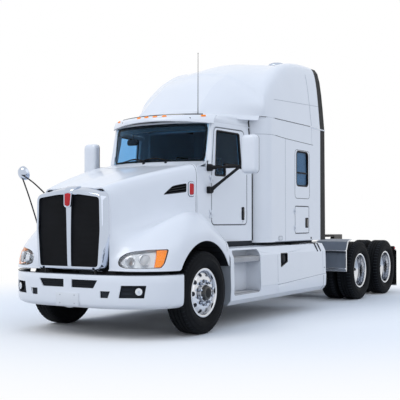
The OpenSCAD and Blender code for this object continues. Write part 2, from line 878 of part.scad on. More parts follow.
module fifth_wheel_plate() {
  color(c_black) {
    translate([0, at(fifth_at), fifth_top - 40])
      linear_extrude(40)
        fifth_outline();
    left_and_right()
      box(fifth_width / 2 - 14, fifth_width / 2, fifth_at - fifth_length / 2 + 330, fifth_at + fifth_length / 2 - 180,
        fifth_top - 120, fifth_top - 39);
    left_and_right()
      difference() {
        union() {
          bar_x(hw - 50, hw - 10, fifth_at, fifth_pin_z, 96);
          box(hw - 50, hw - 10, fifth_at - 48, fifth_at + 48, fifth_pin_z, fifth_top - 39);
        }
        bar_x(hw - 52, hw, fifth_at, fifth_pin_z, fifth_pin_d + 2 * run);
      }
  }
}

// Quarter fenders ahead of the drive tyres, and the mud flaps behind them
module quarter_fenders() {
  x0 = dual_track / 2 - dual_spacing / 2 - tyre_w / 2 + 30;
  x1 = dual_track / 2 + dual_spacing / 2 + tyre_w / 2 - 8;
  f = drive1 - tyre_d / 2;
  color(c_chrome)
    left_and_right() {
      side_plate(x0, x1)
        polygon([
          [f - 190, 530], [f - 190, 880], [f - 110, 1030], [f + 40, 1064], [f + 40, 1058],
          [f - 107, 1024], [f - 184, 878], [f - 184, 536], [f - 150, 536], [f - 150, 530]
        ]);
      bar_x(hw, x0 + 60, f - 160, rail_bottom + 60, 40);
      box(x0, x0 + 60, f - 184.5, f - 160, rail_bottom + 30, rail_bottom + 90);
    }
}
module mud_flaps() {
  x0 = dual_track / 2 - dual_spacing / 2 - tyre_w / 2 + 20;
  x1 = dual_track / 2 + dual_spacing / 2 + tyre_w / 2 - 4;
  f = drive2 + rear_overhang;
  color(c_rubber)
    left_and_right() {
      box(x0, x1, f - 12, f, 115, 800);
      bar_x(hw + 10, x1 - 20, f - 28, 780, 36);
      box(hw, hw + 30, rail_end - 60, f - 20, 765, 795);
    }
}

// Cab and sleeper floors
module floor() {
  color(c_black) {
    translate([0, front_y, cab_bottom])
      linear_extrude(40)
        polygon([
          [-cowl_half + 70, cowl_front + 46], [cowl_half - 70, cowl_front + 46],
          [cab_front_half - 61, door_front], [cab_half - 61, sleeper_front - 0.3],
          [-cab_half + 61, sleeper_front - 0.3], [-cab_front_half + 61, door_front]
        ]);
    box(-sleeper_half + sleeper_corner + 20, sleeper_half - sleeper_corner - 20, sleeper_front - 1, sleeper_front + sleeper_corner,
      sleeper_bottom, cab_bottom + 40);
    box(-sleeper_half + sleeper_wall + 0.3, sleeper_half - sleeper_wall - 0.3, sleeper_front + sleeper_corner,
      sleeper_back_at - sleeper_wall - 0.3, sleeper_bottom, cab_bottom + 40);
  }
}

// Cab sides: tapered slabs that lean in above the belt, with the door openings
module side_section(out) {
  polygon([
    [out, cab_bottom], [out, belt_height], [out - cab_lean, cab_top], [-cab_lean - cab_wall, cab_top],
    [-cab_wall, belt_height], [-cab_wall, cab_bottom]
  ]);
}
function door_points(grow) = [
  [-grow, door_bottom - grow], [door_length + grow, door_bottom - grow], [door_length + grow, door_top + grow],
  [door_rake - grow, door_top + grow], [-grow, belt_height]
];
// Slab of one side as far as a given distance ahead of the sleeper
module side_slab(out, short) {
  difference() {
    on_side()
      difference() {
        along_y(seat - panel_gap, cab_side_length + 20)
          side_section(out);
        along_x(-200, 50)
          polygon(soft(door_points(panel_gap), door_corner + panel_gap));
        along_x(-200, 50)
          polygon([
            [-60, belt_height + 20], [seat - panel_gap, belt_height + 20], [door_rake - 42, cab_top + 1], [-60, cab_top + 1]
          ]);
      }
    box(0, 2 * cab_half, sleeper_front - short, sleeper_front + 200, 0, cab_top + 10);
    box(0, screen_half + 9, door_front - 60, door_front + 190, belt_height, cab_top + 10);
  }
}
module cab_sides() {
  color(c_white)
    left_and_right() {
      side_slab(0, 14);
      side_slab(-30, 0.3);
    }
}
hinge_z = [door_bottom + 146, belt_height - 110];
hinge_x = 16;
hinge_y = -14;
hinge_d = 22;
module door_hinge_fixed(z) {
  pin(hinge_x, hinge_y, z - 52, z - 18, hinge_d);
  pin(hinge_x, hinge_y, z + 18, z + 52, hinge_d);
  pin(hinge_x, hinge_y, z - 30, z + 30, hinge_pin_d);
  for (s = [-52, 18])
    block(-12, hinge_x, hinge_y - 34, hinge_y, z + s, z + s + 34);
}
module door_hinge_moving(z) {
  difference() {
    union() {
      pin(hinge_x, hinge_y, z - 12, z + 12, hinge_d);
      block(hinge_x - 9, hinge_x + 11, hinge_y, 50, z - 12, z + 12);
      block(-2, hinge_x, 6, 50, z - 12, z + 12);
    }
    pin(hinge_x, hinge_y, z - 13, z + 13, hinge_pin_d + 2 * run);
  }
}
// Window opening of a door, with its dip at the front
dip_z = belt_height - 60;
sill_z = belt_height + 100;
function window_points(grow) = [
  [72 - grow, dip_z - grow], [322 + grow, dip_z - grow], [330 + grow, sill_z - grow],
  [door_length - 118 + grow, sill_z - grow], [door_length - 118 + grow, door_top - 48 + grow],
  [door_rake + 50 - grow, door_top - 40 + grow]
];
module door() {
  on_side() {
    difference() {
      along_y(-5, door_length + 5)
        side_section(0);
      along_x(-200, 50)
        difference() {
          translate([-100, 0])
            square([door_length + 200, 4000]);
          polygon(soft(door_points(0), door_corner));
        }
      along_x(-200, 50)
        polygon(soft(window_points(0), 30));
      along_x(-24, 10)
        rounded(door_length - 120, door_length - 60, 1405, 1570, 14);
    }
    block(-16, -4, door_length - 104, door_length - 76, 1400, 1575);
    for (z = hinge_z)
      door_hinge_moving(z);
  }
}
module door_left() {
  color(c_white)
    door();
}
module door_right() {
  color(c_white)
    mirror([1, 0, 0])
      door();
}
module door_glass() {
  on_side()
    intersection() {
      along_y(0, door_length)
        polygon([
          [-22, cab_bottom], [-22, belt_height], [-cab_lean - 22, cab_top],
          [-cab_lean - 28, cab_top], [-28, belt_height], [-28, cab_bottom]
        ]);
      along_x(-200, 50)
        polygon(soft(window_points(-seat), 30));
    }
}
module door_glass_left() {
  color(c_glass)
    door_glass();
}
module door_glass_right() {
  color(c_glass)
    mirror([1, 0, 0])
      door_glass();
}

// Cab front: firewall, cowl and windscreen pillars
screen_low_z = 2186;
screen_high_z = 2690;
screen_half = 757;
screen_low_back = 722;
screen_high_back = 800;
screen_bow = 200;
screen_t = 8;
screen_cols = 12;
function bowed(half, back, bow, z, cols) = [
  for (i = [cols : -1 : -cols])
    let (u = i / cols)
    [half * u, at(back - bow * (1 - u * u)), z]
];
screen_grid = [
  bowed(screen_half + 5, screen_high_back, screen_bow, screen_high_z, screen_cols),
  bowed(screen_half, screen_low_back, screen_bow, screen_low_z, screen_cols)
];
cowl_top = 2096;
module cab_front() {
  o = cab_front_half;
  color(c_white) {
    translate([0, front_y, cab_bottom])
      linear_extrude(cowl_top - cab_bottom)
        polygon([
          [-o, cowl_back], [-cowl_half, cowl_front], [cowl_half, cowl_front], [o, cowl_back], [o - 55, cowl_back],
          [cowl_half - 55, cowl_front + 45], [-cowl_half + 55, cowl_front + 45], [-o + 55, cowl_back]
        ]);
    skin([
      bowed(cowl_half - 6, cowl_front + 4, 0, cowl_top + 6, screen_cols),
      bowed(screen_half + 18, screen_low_back + 2, screen_bow, screen_low_z - 3, screen_cols)
    ], 22);
    skin([
      bowed(screen_half + 5, screen_high_back + 20, screen_bow, cab_top - 2, screen_cols),
      bowed(screen_half + 5, screen_high_back + 4, screen_bow, screen_high_z + 11, screen_cols)
    ], 16);
    left_and_right() {
      hull() {
        box(screen_half + 4, o - 62, cowl_back - 40, cowl_back - 1, cowl_top - 60, cowl_top);
        box(screen_half + 7, o - 72, screen_low_back - 20, screen_low_back - 2, screen_low_z, screen_low_z + 4);
      }
      hull() {
        box(screen_half + 7, o - 72, screen_low_back - 20, screen_low_back - 2, screen_low_z, screen_low_z + 4);
        box(screen_half + 5.2, screen_half + 11, screen_low_back, screen_low_back + 14, screen_low_z + 110, screen_low_z + 114);
      }
      on_side()
        for (z = hinge_z)
          door_hinge_fixed(z);
    }
  }
}
module fixed_glass() {
  color(c_glass) {
    skin(screen_grid, screen_t);
    left_and_right()
      side_plate(sleeper_half - 26, sleeper_half - 18)
        rounded(window_front + seat, window_back - seat, window_low + seat, window_high - seat, 60);
  }
}

// Cab roof: a skin from the windscreen header to the sleeper
// Columns: back at the edge, bow of the row, shoulder as a share of the edge, shoulder height, middle height
cab_roof_table = [
  [820, 190, 0.80, cab_top + 36, cab_top + 52],
  [980, 90, 0.86, sleeper_top - 22, sleeper_top - 9],
  [1330, 30, 0.93, sleeper_top - 18, sleeper_top - 8],
  [sleeper_front - 4, 0, 0.95, sleeper_top - 20, sleeper_top - 8]
];
function roof_edge(b) = cab_front_half + (b - door_front) * tan(cab_taper) - cab_lean - 2;
function roof_row(t, u, z) = [roof_edge(t[0]) * u, at(t[0] - t[1] * (1 - u * u)), z];
cab_roof_grid = smooth([
  for (t = cab_roof_table)
    both_sides(smooth([
      roof_row(t, 0, t[4]), roof_row(t, 0.5 * t[2], t[4] - 4), roof_row(t, t[2], t[3]),
      roof_row(t, 0.99, cab_top + 60), roof_row(t, 1, cab_top + 1.9)
    ], 3))
], 2);
module cab_roof() {
  color(c_white)
    skin(cab_roof_grid, 18);
}
// Sun visor: a bowed blade on two brackets from the roof's front edge
// Columns: half-width, back at the tips, bow, height at the tips, rise to the middle
visor_table = [
  [842, 860, 274, 2800, 8],
  [834, 816, 300, 2738, 38],
  [832, 800, 300, 2688, 44]
];
module sun_visor() {
  color(c_white) {
    skin([
      for (t = visor_table)
        [for (i = [12 : -1 : -12])
          let (u = i / 12)
          [t[0] * u, at(t[1] - t[2] * (1 - u * u)), t[3] + t[4] * (1 - u * u)]]
    ], 10);
    left_and_right()
      box(40, 60, cab_roof_table[0][0] - cab_roof_table[0][1] - 115, cab_roof_table[0][0] - cab_roof_table[0][1] - 0.3,
        cab_roof_table[0][4] - 18, cab_roof_table[0][4] - 1);
  }
}

// Interior: dashboard with the steering wheel, seats and bunk
module dashboard() {
  color(c_black) {
    box(-cowl_half + 70, cowl_half - 70, cowl_front + 45.3, cowl_front + 330, cowl_top - 476, cowl_top - 56);
    translate([430, at(cowl_front + 320), cowl_top - 246])
      rotate([-60, 0, 0]) {
        cylinder(d = 60, h = 190);
        translate([0, 0, 180])
          rotate_extrude()
            translate([200, 0])
              circle(15);
        for (i = [0 : 2])
          rotate([0, 0, 90 + 120 * i])
            translate([0, -14, 172])
              cube([200, 28, 14]);
      }
  }
}
module seats() {
  color(c_trim)
    for (s = [-1, 1]) {
      box(s * 430 - 240, s * 430 + 240, 990, 1490, cab_bottom + 340, cab_bottom + 490);
      box(s * 430 - 230, s * 430 + 230, 1420, 1560, cab_bottom + 480, cab_bottom + 1190);
      box(s * 430 - 170, s * 430 + 170, 1060, 1440, cab_bottom + 40.3, cab_bottom + 350);
    }
}
module bunk() {
  x = sleeper_half - sleeper_wall;
  color(c_trim)
    box(-x + 0.3, x - 0.3, sleeper_back_at - sleeper_wall - 900, sleeper_back_at - sleeper_wall - 0.3,
      cab_bottom + 40.3, cab_bottom + 650);
}

// Sleeper walls: one rounded ring, open to the cab, with windows and luggage doors
window_front = 2770;
window_back = 3190;
window_low = 1920;
window_high = 2450;
luggage_front = 2714;
luggage_back = 3222;
luggage_low = 1196;
luggage_high = 1610;
module sleeper_outline(inset) {
  x = sleeper_half - inset;
  y0 = sleeper_front + inset;
  y1 = sleeper_back_at - inset;
  r = sleeper_corner - inset;
  translate([-x, y0 + r])
    square([2 * x, y1 - y0 - r]);
  translate([-x + r, y0])
    square([2 * x - 2 * r, r + 1]);
  for (s = [-1, 1])
    translate([s * (x - r), y0 + r])
      circle(r, $fn = 96);
}
module sleeper_walls() {
  color(c_white) {
    difference() {
      translate([0, front_y, sleeper_bottom])
        linear_extrude(sleeper_top - sleeper_bottom)
          difference() {
            sleeper_outline(0);
            sleeper_outline(sleeper_wall);
          }
      box(-sleeper_half + sleeper_corner + 10, sleeper_half - sleeper_corner - 10, sleeper_front - 10, sleeper_front + 60,
        sleeper_bottom - 1, 2700);
      left_and_right() {
        side_plate(sleeper_half - 100, sleeper_half + 10)
          rounded(window_front, window_back, window_low, window_high, 60);
        side_plate(sleeper_half - 100, sleeper_half + 10)
          rounded(luggage_front - panel_gap, luggage_back + panel_gap, luggage_low - panel_gap,
            luggage_high + panel_gap, 30 + panel_gap);
      }
    }
    left_and_right()
      for (z = luggage_hinges)
        luggage_hinge_fixed(z);
  }
}
luggage_hinges = [luggage_low + 80, luggage_high - 80];
luggage_x = sleeper_half + 15;
luggage_pivot = luggage_front - 14;
module luggage_hinge_fixed(z) {
  post(luggage_x, luggage_pivot, z - 34, z - 12, 20);
  post(luggage_x, luggage_pivot, z + 12, z + 34, 20);
  post(luggage_x, luggage_pivot, z - 20, z + 20, hinge_pin_d - 2);
  for (s = [-34, 12])
    box(sleeper_half - 1, luggage_x, luggage_pivot - 26, luggage_pivot, z + s, z + s + 22);
}
module luggage_door() {
  side_plate(sleeper_half - 30, sleeper_half)
    rounded(luggage_front, luggage_back, luggage_low, luggage_high, 30);
  for (z = luggage_hinges)
    difference() {
      union() {
        post(luggage_x, luggage_pivot, z - 6, z + 6, 20);
        box(luggage_x - 9, luggage_x + 10, luggage_pivot, luggage_pivot + 50, z - 6, z + 6);
        box(sleeper_half - 2, luggage_x, luggage_front + 5, luggage_pivot + 50, z - 6, z + 6);
      }
      post(luggage_x, luggage_pivot, z - 7, z + 7, hinge_pin_d - 2 + 2 * run);
    }
}
module luggage_door_left() {
  color(c_white)
    luggage_door();
}
module luggage_door_right() {
  color(c_white)
    mirror([1, 0, 0])
      luggage_door();
}

// Roof fairing: a skin with a raised middle that rises from the cab roof to the back of the sleeper
// Columns: back, base half-width, side half-width, crown half-width, then the heights of side, crown and
// middle as shares of the rise from the sleeper's top to the roof's top
roof_table = [
  [920, 470, 466, 440, 0.018, 0.022, 0.028],
  [966, 520, 515, 494, 0.020, 0.034, 0.058],
  [1120, 650, 600, 470, 0.062, 0.168, 0.198],
  [1460, 862, 792, 452, 0.185, 0.436, 0.468],
  [1747, 1050, 1030, 448, 0.160, 0.582, 0.620],
  [1860, 1090, 1042, 446, 0.330, 0.645, 0.688],
  [2200, 1116, 1022, 436, 0.575, 0.760, 0.805],
  [2660, 1118, 1004, 424, 0.773, 0.880, 0.925],
  [3200, 1118, 1000, 412, 0.852, 0.958, 0.990],
  [extender_panel_back - 6, 1118, 1000, 410, 0.866, 0.966, 1]
];
function rise(share) = sleeper_top + (roof_top - sleeper_top) * share;
function roof_base(t) = sleeper_top + 3;
roof_grid = smooth([
  for (t = roof_table)
    both_sides(smooth([
      [0, at(t[0]), rise(t[6])], [t[3], at(t[0]), rise(t[5])],
      [(t[2] + t[3]) / 2, at(t[0]), rise(0.4 * t[4] + 0.6 * t[5])], [t[2], at(t[0]), rise(t[4])],
      [t[1] * sleeper_half / 1120, at(t[0]), roof_base(t)]
    ], 5))
], 3);
module roof_fairing() {
  color(c_white)
    skin(roof_grid, 18);
}
// Side extenders: white panels behind the sleeper's sides, and the black trim behind them and the roof
module side_extenders() {
  o = sleeper_half;
  color(c_white)
    left_and_right()
      box(o - 34, o - 2, sleeper_back_at + 0.3, extender_panel_back, sleeper_bottom, sleeper_top - 2);
}
roof_end = roof_grid[len(roof_grid) - 1];
trim_low = [[sleeper_half - 2, 0, sleeper_bottom], [sleeper_half - 2, 0, sleeper_top - 20]];
trim_line = concat(trim_low, [for (i = [1 : 14]) roof_end[i]]);
module extender_trim() {
  color(c_black)
    left_and_right()
      skin([
        for (b = [extender_panel_back + 0.3, extender_back])
          [for (p = trim_line) [p.x, at(b - (b < extender_back ? 0 : (p.z - sleeper_bottom) * 0.012)), p.z]]
      ], 34);
}

// Door mirrors on cowl arms, the antenna and the roof dome
mirror_at = 900;
mirror_x = 1330;
mirror_low = 2010;
mirror_high = 2521;
mirror_half = 115;
module rod(p, q, d) {
  v = q - p;
  translate(p)
    rotate([0, acos(v.z / norm(v)), atan2(v.y, v.x)])
      cylinder(d = d, h = norm(v));
}
module mirror_arms() {
  pad = mirror_x - mirror_half + 0.47;
  color(c_black)
    left_and_right() {
      on_cowl()
        for (z = [1795, 2090])
          block(0.3, 44, -104, -14, z - 44, z + 44);
      rod([cab_front_half + 26, at(cowl_back - 52), 2090], [pad - 12, at(mirror_at - 8), 2110], 36);
      rod([cab_front_half + 26, at(cowl_back - 52), 1795], [pad - 30, at(mirror_at - 22), 2100], 32);
      box(pad - 22, pad, mirror_at - 26, mirror_at + 14, 2075, 2140);
    }
}
module mirror_heads() {
  color(c_white)
    left_and_right()
      hull()
        for (z = [mirror_low + 40, mirror_high - 40], s = [-1, 1], y = [-22, 22])
          translate([mirror_x + s * (mirror_half - 40), at(mirror_at + y), z])
            sphere(d = 80, $fn = 16);
}
antenna_x = 595;
antenna_at = 790;
antenna_low = 2803;
module roof_fittings() {
  color(c_black) {
    translate([antenna_x, at(antenna_at), antenna_low])
      cylinder(d1 = 40, d2 = 20, h = 36);
    translate([antenna_x, at(antenna_at), antenna_low])
      cylinder(d = 8, h = 3655 - antenna_low);
  }
  color(c_white)
    translate([430, at(3480), rise(0.9783)])
      cylinder(d1 = 300, d2 = 180, h = 65);
}

// Hood: a lofted skin with fenders, open at the grille and at the wheel arches
// Columns: middle back, height; shoulder x, height; waist x, height; crest x, back, height;
// outside x, back, height; lower edge x, back
hood_pivot_back = -front_overhang + 55;
hood_pivot_z = hood_bottom + 14;
hood_pin_d = 16;
hood_table = [
  [-1037, 1796, 466, 1734, 516, 1290, 524, -1038, 1000, 530, -1046, 900, 534, -1054],
  [-880, 1850, 512, 1782, 572, 1300, 716, -940, 1090, 812, -1008, 950, 834, -1034],
  [-620, 1922, 576, 1852, 640, 1340, 872, -724, 1240, 1038, -834, 1030, 1064, -884],
  [-340, 1990, 648, 1922, 716, 1395, 962, -450, 1395, 1160, -602, 1120, 1186, -690],
  [-70, 2046, 716, 1984, 780, 1440, 1010, -150, 1492, 1198, -330, 1225, 1212, -500],
  [150, 2088, 770, 2030, 822, 1455, 1014, 160, 1480, 1200, 60, 1275, 1216, -60],
  [290, 2112, 804, 2058, 838, 1450, 1008, 370, 1395, 1196, 340, 1190, 1214, 290],
  [382, 2128, 826, 2074, 844, 1445, 1000, 540, 1275, 1190, 556, 1090, 1210, 570]
];
// The part ahead of the axle stretches with the overhang
function hood_back(b) = b < 0 ? b * (front_overhang - 133) / 1037 : b;
function arch_height(b) =
  abs(b) < arch_radius ? max(hood_bottom, axle_z + sqrt(arch_radius * arch_radius - b * b)) : hood_bottom;
hood_rows = smooth(hood_table, 3);
hood_grid = [
  for (t = hood_rows)
    both_sides(smooth([
      [0, at(hood_back(t[0])), t[1]], [t[2] * 0.6, at(hood_back(t[0])), t[1] - 0.3 * (t[1] - t[3])],
      [t[2], at(hood_back(t[0])), t[3]], [t[4], at(hood_back(t[0])), t[5]],
      [t[6], at(hood_back(t[7])), t[8]], [t[9], at(hood_back(t[10])), t[11]],
      [t[12], at(hood_back(t[13])), arch_height(hood_back(t[13]))]
    ], 3))
];
// Headlamp corners: x, back, height, corner radius
lamp_corners = [
  [708, -1068, 868, 8], [915, -960, 1006, 12], [1134, -726, 1046, 14], [1122, -756, 930, 14],
  [1066, -838, 872, 12], [890, -976, 850, 10]
];
lamp_turn = 51;
module lamp_solid(grow, h0, h1) {
  hull()
    for (p = lamp_corners)
      translate([p[0], at(hood_back(p[1])), p[2]])
        rotate([90, 0, 0])
          rotate([0, lamp_turn, 0])
            translate([0, 0, h0])
              cylinder(r = p[3] + grow, h = h1 - h0, $fn = 16);
}
// Louvre slots: front and rear back offsets at the top of each slot, then their heights
louvre_table = [[-232, 128, 1778, 1862], [-262, 128, 1742, 1824], [-286, 128, 1710, 1786]];
module louvre_slot(t) {
  hull()
    for (p = [[t[0], t[2]], [t[1], t[3]]])
      translate([560, at(p[0]), p[1]])
        rotate([0, 90, 0])
          cylinder(r = 11, h = 420, $fn = 16);
}
// Liner over a front tyre, part of the hood's moulding
module arch_liner() {
  intersection() {
    side_plate(cowl_half + 34, 1206)
      difference() {
        translate([0, axle_z])
          circle(arch_radius + 6, $fn = 96);
        translate([0, axle_z])
          circle(arch_radius - 8, $fn = 96);
      }
    box(0, 1300, -700, 700, hood_bottom - 4, 1300);
  }
}
module hood() {
  color(c_white)
    difference() {
      union() {
        skin(hood_grid, hood_skin);
        left_and_right()
          arch_liner();
      }
      left_and_right() {
        lamp_solid(0.3, -160, 160);
        for (t = louvre_table)
          louvre_slot(t);
      }
    }
}
module headlamps() {
  color(c_lamp)
    left_and_right()
      lamp_solid(0, -60, -4);
}

// Grille surround that flares back to the hood, its two mesh panels and the hood's pivot bores
function grille_half(grow) = [
  [440 + grow, 858 - grow], [472 + grow, 1283], [462 + grow, 1662 + 1.1 * grow], [160, 1700 + 1.5 * grow]
];
function grille_points(grow) = concat(
  grille_half(grow),
  [for (i = [3 : -1 : 0]) [-grille_half(grow)[i].x, grille_half(grow)[i].y]]
);
grille_front = -front_overhang + 15;
grille_back = -front_overhang + 132.7;
module grille_openings() {
  difference() {
    polygon(soft(grille_points(0), 40));
    polygon([[-30, 800], [-46, 1900], [46, 1900], [30, 800]]);
  }
}
module grille_surround() {
  color(c_chrome)
    difference() {
      hull() {
        front_plate(grille_front, grille_front + 6)
          polygon(soft(grille_points(30), 70));
        front_plate(grille_back - 6, grille_back)
          polygon(soft(grille_points(60), 90));
      }
      front_plate(grille_front - 5, grille_back + 5)
        grille_openings();
      left_and_right() {
        box(lug_x - 16, lug_x + 16, grille_front - 5, hood_pivot_back + 18, hood_bottom - 40, hood_pivot_z + 20);
        bar_x(lug_x - 42, lug_x + 42, hood_pivot_back, hood_pivot_z, hood_pin_d + 2 * run);
      }
    }
}
module grilles() {
  color(c_black)
    front_plate(grille_front + 40, grille_front + 52)
      intersection() {
        grille_openings();
        union() {
          for (i = [0 : 36])
            translate([-520, 852 + 24 * i])
              square([1040, 12]);
          for (x = [-380, -250, -120, 120, 250, 380])
            translate([x - 5, 840])
              square([10, 1000]);
        }
      }
}
module hood_mirror() {
  head = [-1135, at(-710), 2010];
  foot_low = [-1005, at(-580), 1311.4];
  foot_high = [-549.2, at(-880), 1680];
  color(c_black) {
    translate(head)
      sphere(d = 190, $fn = 24);
    for (f = [foot_low, foot_high]) {
      translate(f)
        sphere(d = 32, $fn = 24);
      rod(f, head, 18);
    }
  }
}

frame();
front_axle();
drive_axles();
rear_suspension();
engine();
driveline();
fuel_tanks();
side_fairings();
bumper();
tail_lamps();
fifth_wheel_base();
quarter_fenders();
mud_flaps();
floor();
cab_front();
cab_sides();
cab_roof();
sun_visor();
fixed_glass();
dashboard();
seats();
bunk();
sleeper_walls();
roof_fairing();
side_extenders();
mirror_arms();
mirror_heads();
roof_fittings();
extender_trim();
bumper_inserts();
fog_lamps();
hood();
grille_surround();
grilles();
headlamps();
hood_mirror();
door_left();
door_glass_left();
door_right();
door_glass_right();
luggage_door_left();
luggage_door_right();
fifth_wheel_plate();
knuckle_left();
knuckle_right();
tie_rod();
tyre_front_left();
wheel_front_left();
tyre_front_right();
wheel_front_right();
tyres_drive1_left();
wheels_drive1_left();
tyres_drive1_right();
wheels_drive1_right();
tyres_drive2_left();
wheels_drive2_left();
tyres_drive2_right();
wheels_drive2_right();
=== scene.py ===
import math

import bmesh
import bpy
import numpy as np
from mathutils import Matrix, Vector
from mathutils.bvhtree import BVHTree


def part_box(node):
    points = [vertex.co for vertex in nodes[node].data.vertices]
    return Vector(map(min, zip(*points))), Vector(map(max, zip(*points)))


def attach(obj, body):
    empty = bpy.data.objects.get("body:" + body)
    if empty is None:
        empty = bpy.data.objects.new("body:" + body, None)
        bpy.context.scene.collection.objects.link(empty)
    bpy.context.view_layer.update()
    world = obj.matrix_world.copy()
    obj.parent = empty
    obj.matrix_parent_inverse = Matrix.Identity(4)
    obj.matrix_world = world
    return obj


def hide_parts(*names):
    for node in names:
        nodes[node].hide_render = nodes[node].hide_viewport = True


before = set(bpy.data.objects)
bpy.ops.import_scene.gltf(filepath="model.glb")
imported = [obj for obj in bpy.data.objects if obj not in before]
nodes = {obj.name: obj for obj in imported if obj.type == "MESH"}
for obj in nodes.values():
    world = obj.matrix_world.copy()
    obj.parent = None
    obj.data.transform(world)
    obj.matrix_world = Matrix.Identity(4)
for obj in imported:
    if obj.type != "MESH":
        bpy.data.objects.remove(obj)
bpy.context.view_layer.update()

scene = bpy.context.scene

# The front axle is the place that every offset called "back" is measured from, in millimetres.
tyre_low, tyre_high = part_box("tyre_front_left")
AXLE_Y = (tyre_low.y + tyre_high.y) / 2
AXLE_Z = 508.0


def P(x, back, z):
    """A point in metres from x, distance behind the front axle and height in millimetres."""
    return Vector((x / 1000, AXLE_Y + back / 1000, z / 1000))


# Camera at the photograph's place
YAW, PITCH, ROLL = -0.546556, 0.00695114, -0.00101143
FOCAL, CENTRE_U, CENTRE_V, FRAME_PX = 822.390, 209.0195, 214.6373, 400.0
SENSOR_MM = 36.0
CAMERA_AT = (6475.04, -8591.23, 1395.29)
forward = Vector((math.sin(YAW) * math.cos(PITCH), math.cos(YAW) * math.cos(PITCH), math.sin(PITCH)))
right = Vector((math.cos(YAW), -math.sin(YAW), 0.0))
up = right.cross(forward)
right, up = (
    right * math.cos(ROLL) + up * math.sin(ROLL),
    up * math.cos(ROLL) - right * math.sin(ROLL),
)
camera_data = bpy.data.cameras.new("camera")
camera_data.sensor_width = SENSOR_MM
camera_data.lens = FOCAL / FRAME_PX * SENSOR_MM
camera_data.shift_x = (FRAME_PX / 2 - CENTRE_U) / FRAME_PX
camera_data.shift_y = (CENTRE_V - FRAME_PX / 2) / FRAME_PX
camera_data.clip_start, camera_data.clip_end = 0.1, 200.0
camera = bpy.data.objects.new("camera", camera_data)
scene.collection.objects.link(camera)
turn = Matrix((right, up, -forward)).transposed().to_4x4()
camera.matrix_world = Matrix.Translation(P(*CAMERA_AT)) @ turn
scene.camera = camera
scene.view_settings.view_transform = "Standard"


# Materials: each is a principled shader with noise in its colour, roughness and surface
COLOUR_NOISE, ROUGH_NOISE, GRIME_NOISE = 2.5, 14.0, 5.0
BUMP_DEPTH = 0.002


def tint(colour, factor):
    return tuple(min(1.0, c * factor) for c in colour) + (1.0,)


def node(tree, kind, **values):
    """A shader node with its input values given by name, _ standing for a space."""
    made = tree.nodes.new("ShaderNode" + kind)
    for label, value in values.items():
        made.inputs[label.replace("_", " ")].default_value = value
    return made


def wire(tree, *pairs):
    for source, target in pairs:
        tree.links.new(source, target)


def colour_ramp(tree, *stops):
    made = node(tree, "ValToRGB")
    for element, (position, colour) in zip(made.color_ramp.elements, stops):
        element.position = position
        element.color = colour
    return made


def maths(tree, operation, first, second):
    made = node(tree, "Math")
    made.operation = operation
    wire(tree, (first, made.inputs[0]), (second, made.inputs[1]))
    return made.outputs["Value"]


def material(name, colour, rough, metal=0.0, vary=0.05, rough_vary=0.06, bump=0.0, bump_scale=400.0,
             bump_stretch=(1, 1, 1), coat=0.0, coat_rough=0.05, glass=0.0, ior=1.5, sheen=0.0, grime=0.0,
             grime_top=1.0, grime_colour=(0.30, 0.27, 0.23), glow=0.0, spec=0.5):
    m = bpy.data.materials.new(name)
    m.use_nodes = True
    t = m.node_tree
    bsdf = t.nodes["Principled BSDF"]
    for label, value in (("Metallic", metal), ("Coat Weight", coat), ("Coat Roughness", coat_rough),
                         ("Transmission Weight", glass), ("IOR", ior), ("Sheen Weight", sheen),
                         ("Specular IOR Level", spec)):
        bsdf.inputs[label].default_value = value
    if glow:
        bsdf.inputs["Emission Color"].default_value = tint(colour, 1)
        bsdf.inputs["Emission Strength"].default_value = glow
    place = node(t, "TexCoord").outputs["Object"]

    def noise(scale, detail=4.0, stretch=(1, 1, 1)):
        mapping = node(t, "Mapping", Scale=stretch)
        n = node(t, "TexNoise", Scale=scale, Detail=detail)
        wire(t, (place, mapping.inputs["Vector"]), (mapping.outputs["Vector"], n.inputs["Vector"]))
        return n.outputs["Fac"]

    ramp = colour_ramp(t, (0.3, tint(colour, 1 - vary)), (0.7, tint(colour, 1 + vary)))
    wire(t, (noise(COLOUR_NOISE), ramp.inputs["Fac"]))
    shade = ramp.outputs["Color"]
    if grime:
        split = node(t, "SeparateXYZ")
        low = node(t, "MapRange", From_Min=0.0, From_Max=grime_top, To_Min=grime, To_Max=0.0)
        wire(t, (place, split.inputs["Vector"]), (split.outputs["Z"], low.inputs["Value"]))
        mix = node(t, "Mix")
        mix.data_type = "RGBA"
        mix.inputs["B"].default_value = tint(grime_colour, 1)
        patch = maths(t, "MULTIPLY", low.outputs["Result"], noise(GRIME_NOISE, 8.0))
        wire(t, (patch, mix.inputs["Factor"]), (shade, mix.inputs["A"]))
        shade = mix.outputs["Result"]
    spread = node(t, "MapRange", To_Min=max(0.0, rough - rough_vary), To_Max=min(1.0, rough + rough_vary))
    wire(t, (shade, bsdf.inputs["Base Color"]), (noise(ROUGH_NOISE), spread.inputs["Value"]),
         (spread.outputs["Result"], bsdf.inputs["Roughness"]))
    if bump:
        relief = node(t, "Bump", Strength=bump, Distance=BUMP_DEPTH)
        wire(t, (noise(bump_scale, 3.0, bump_stretch), relief.inputs["Height"]),
             (relief.outputs["Normal"], bsdf.inputs["Normal"]))
    return m


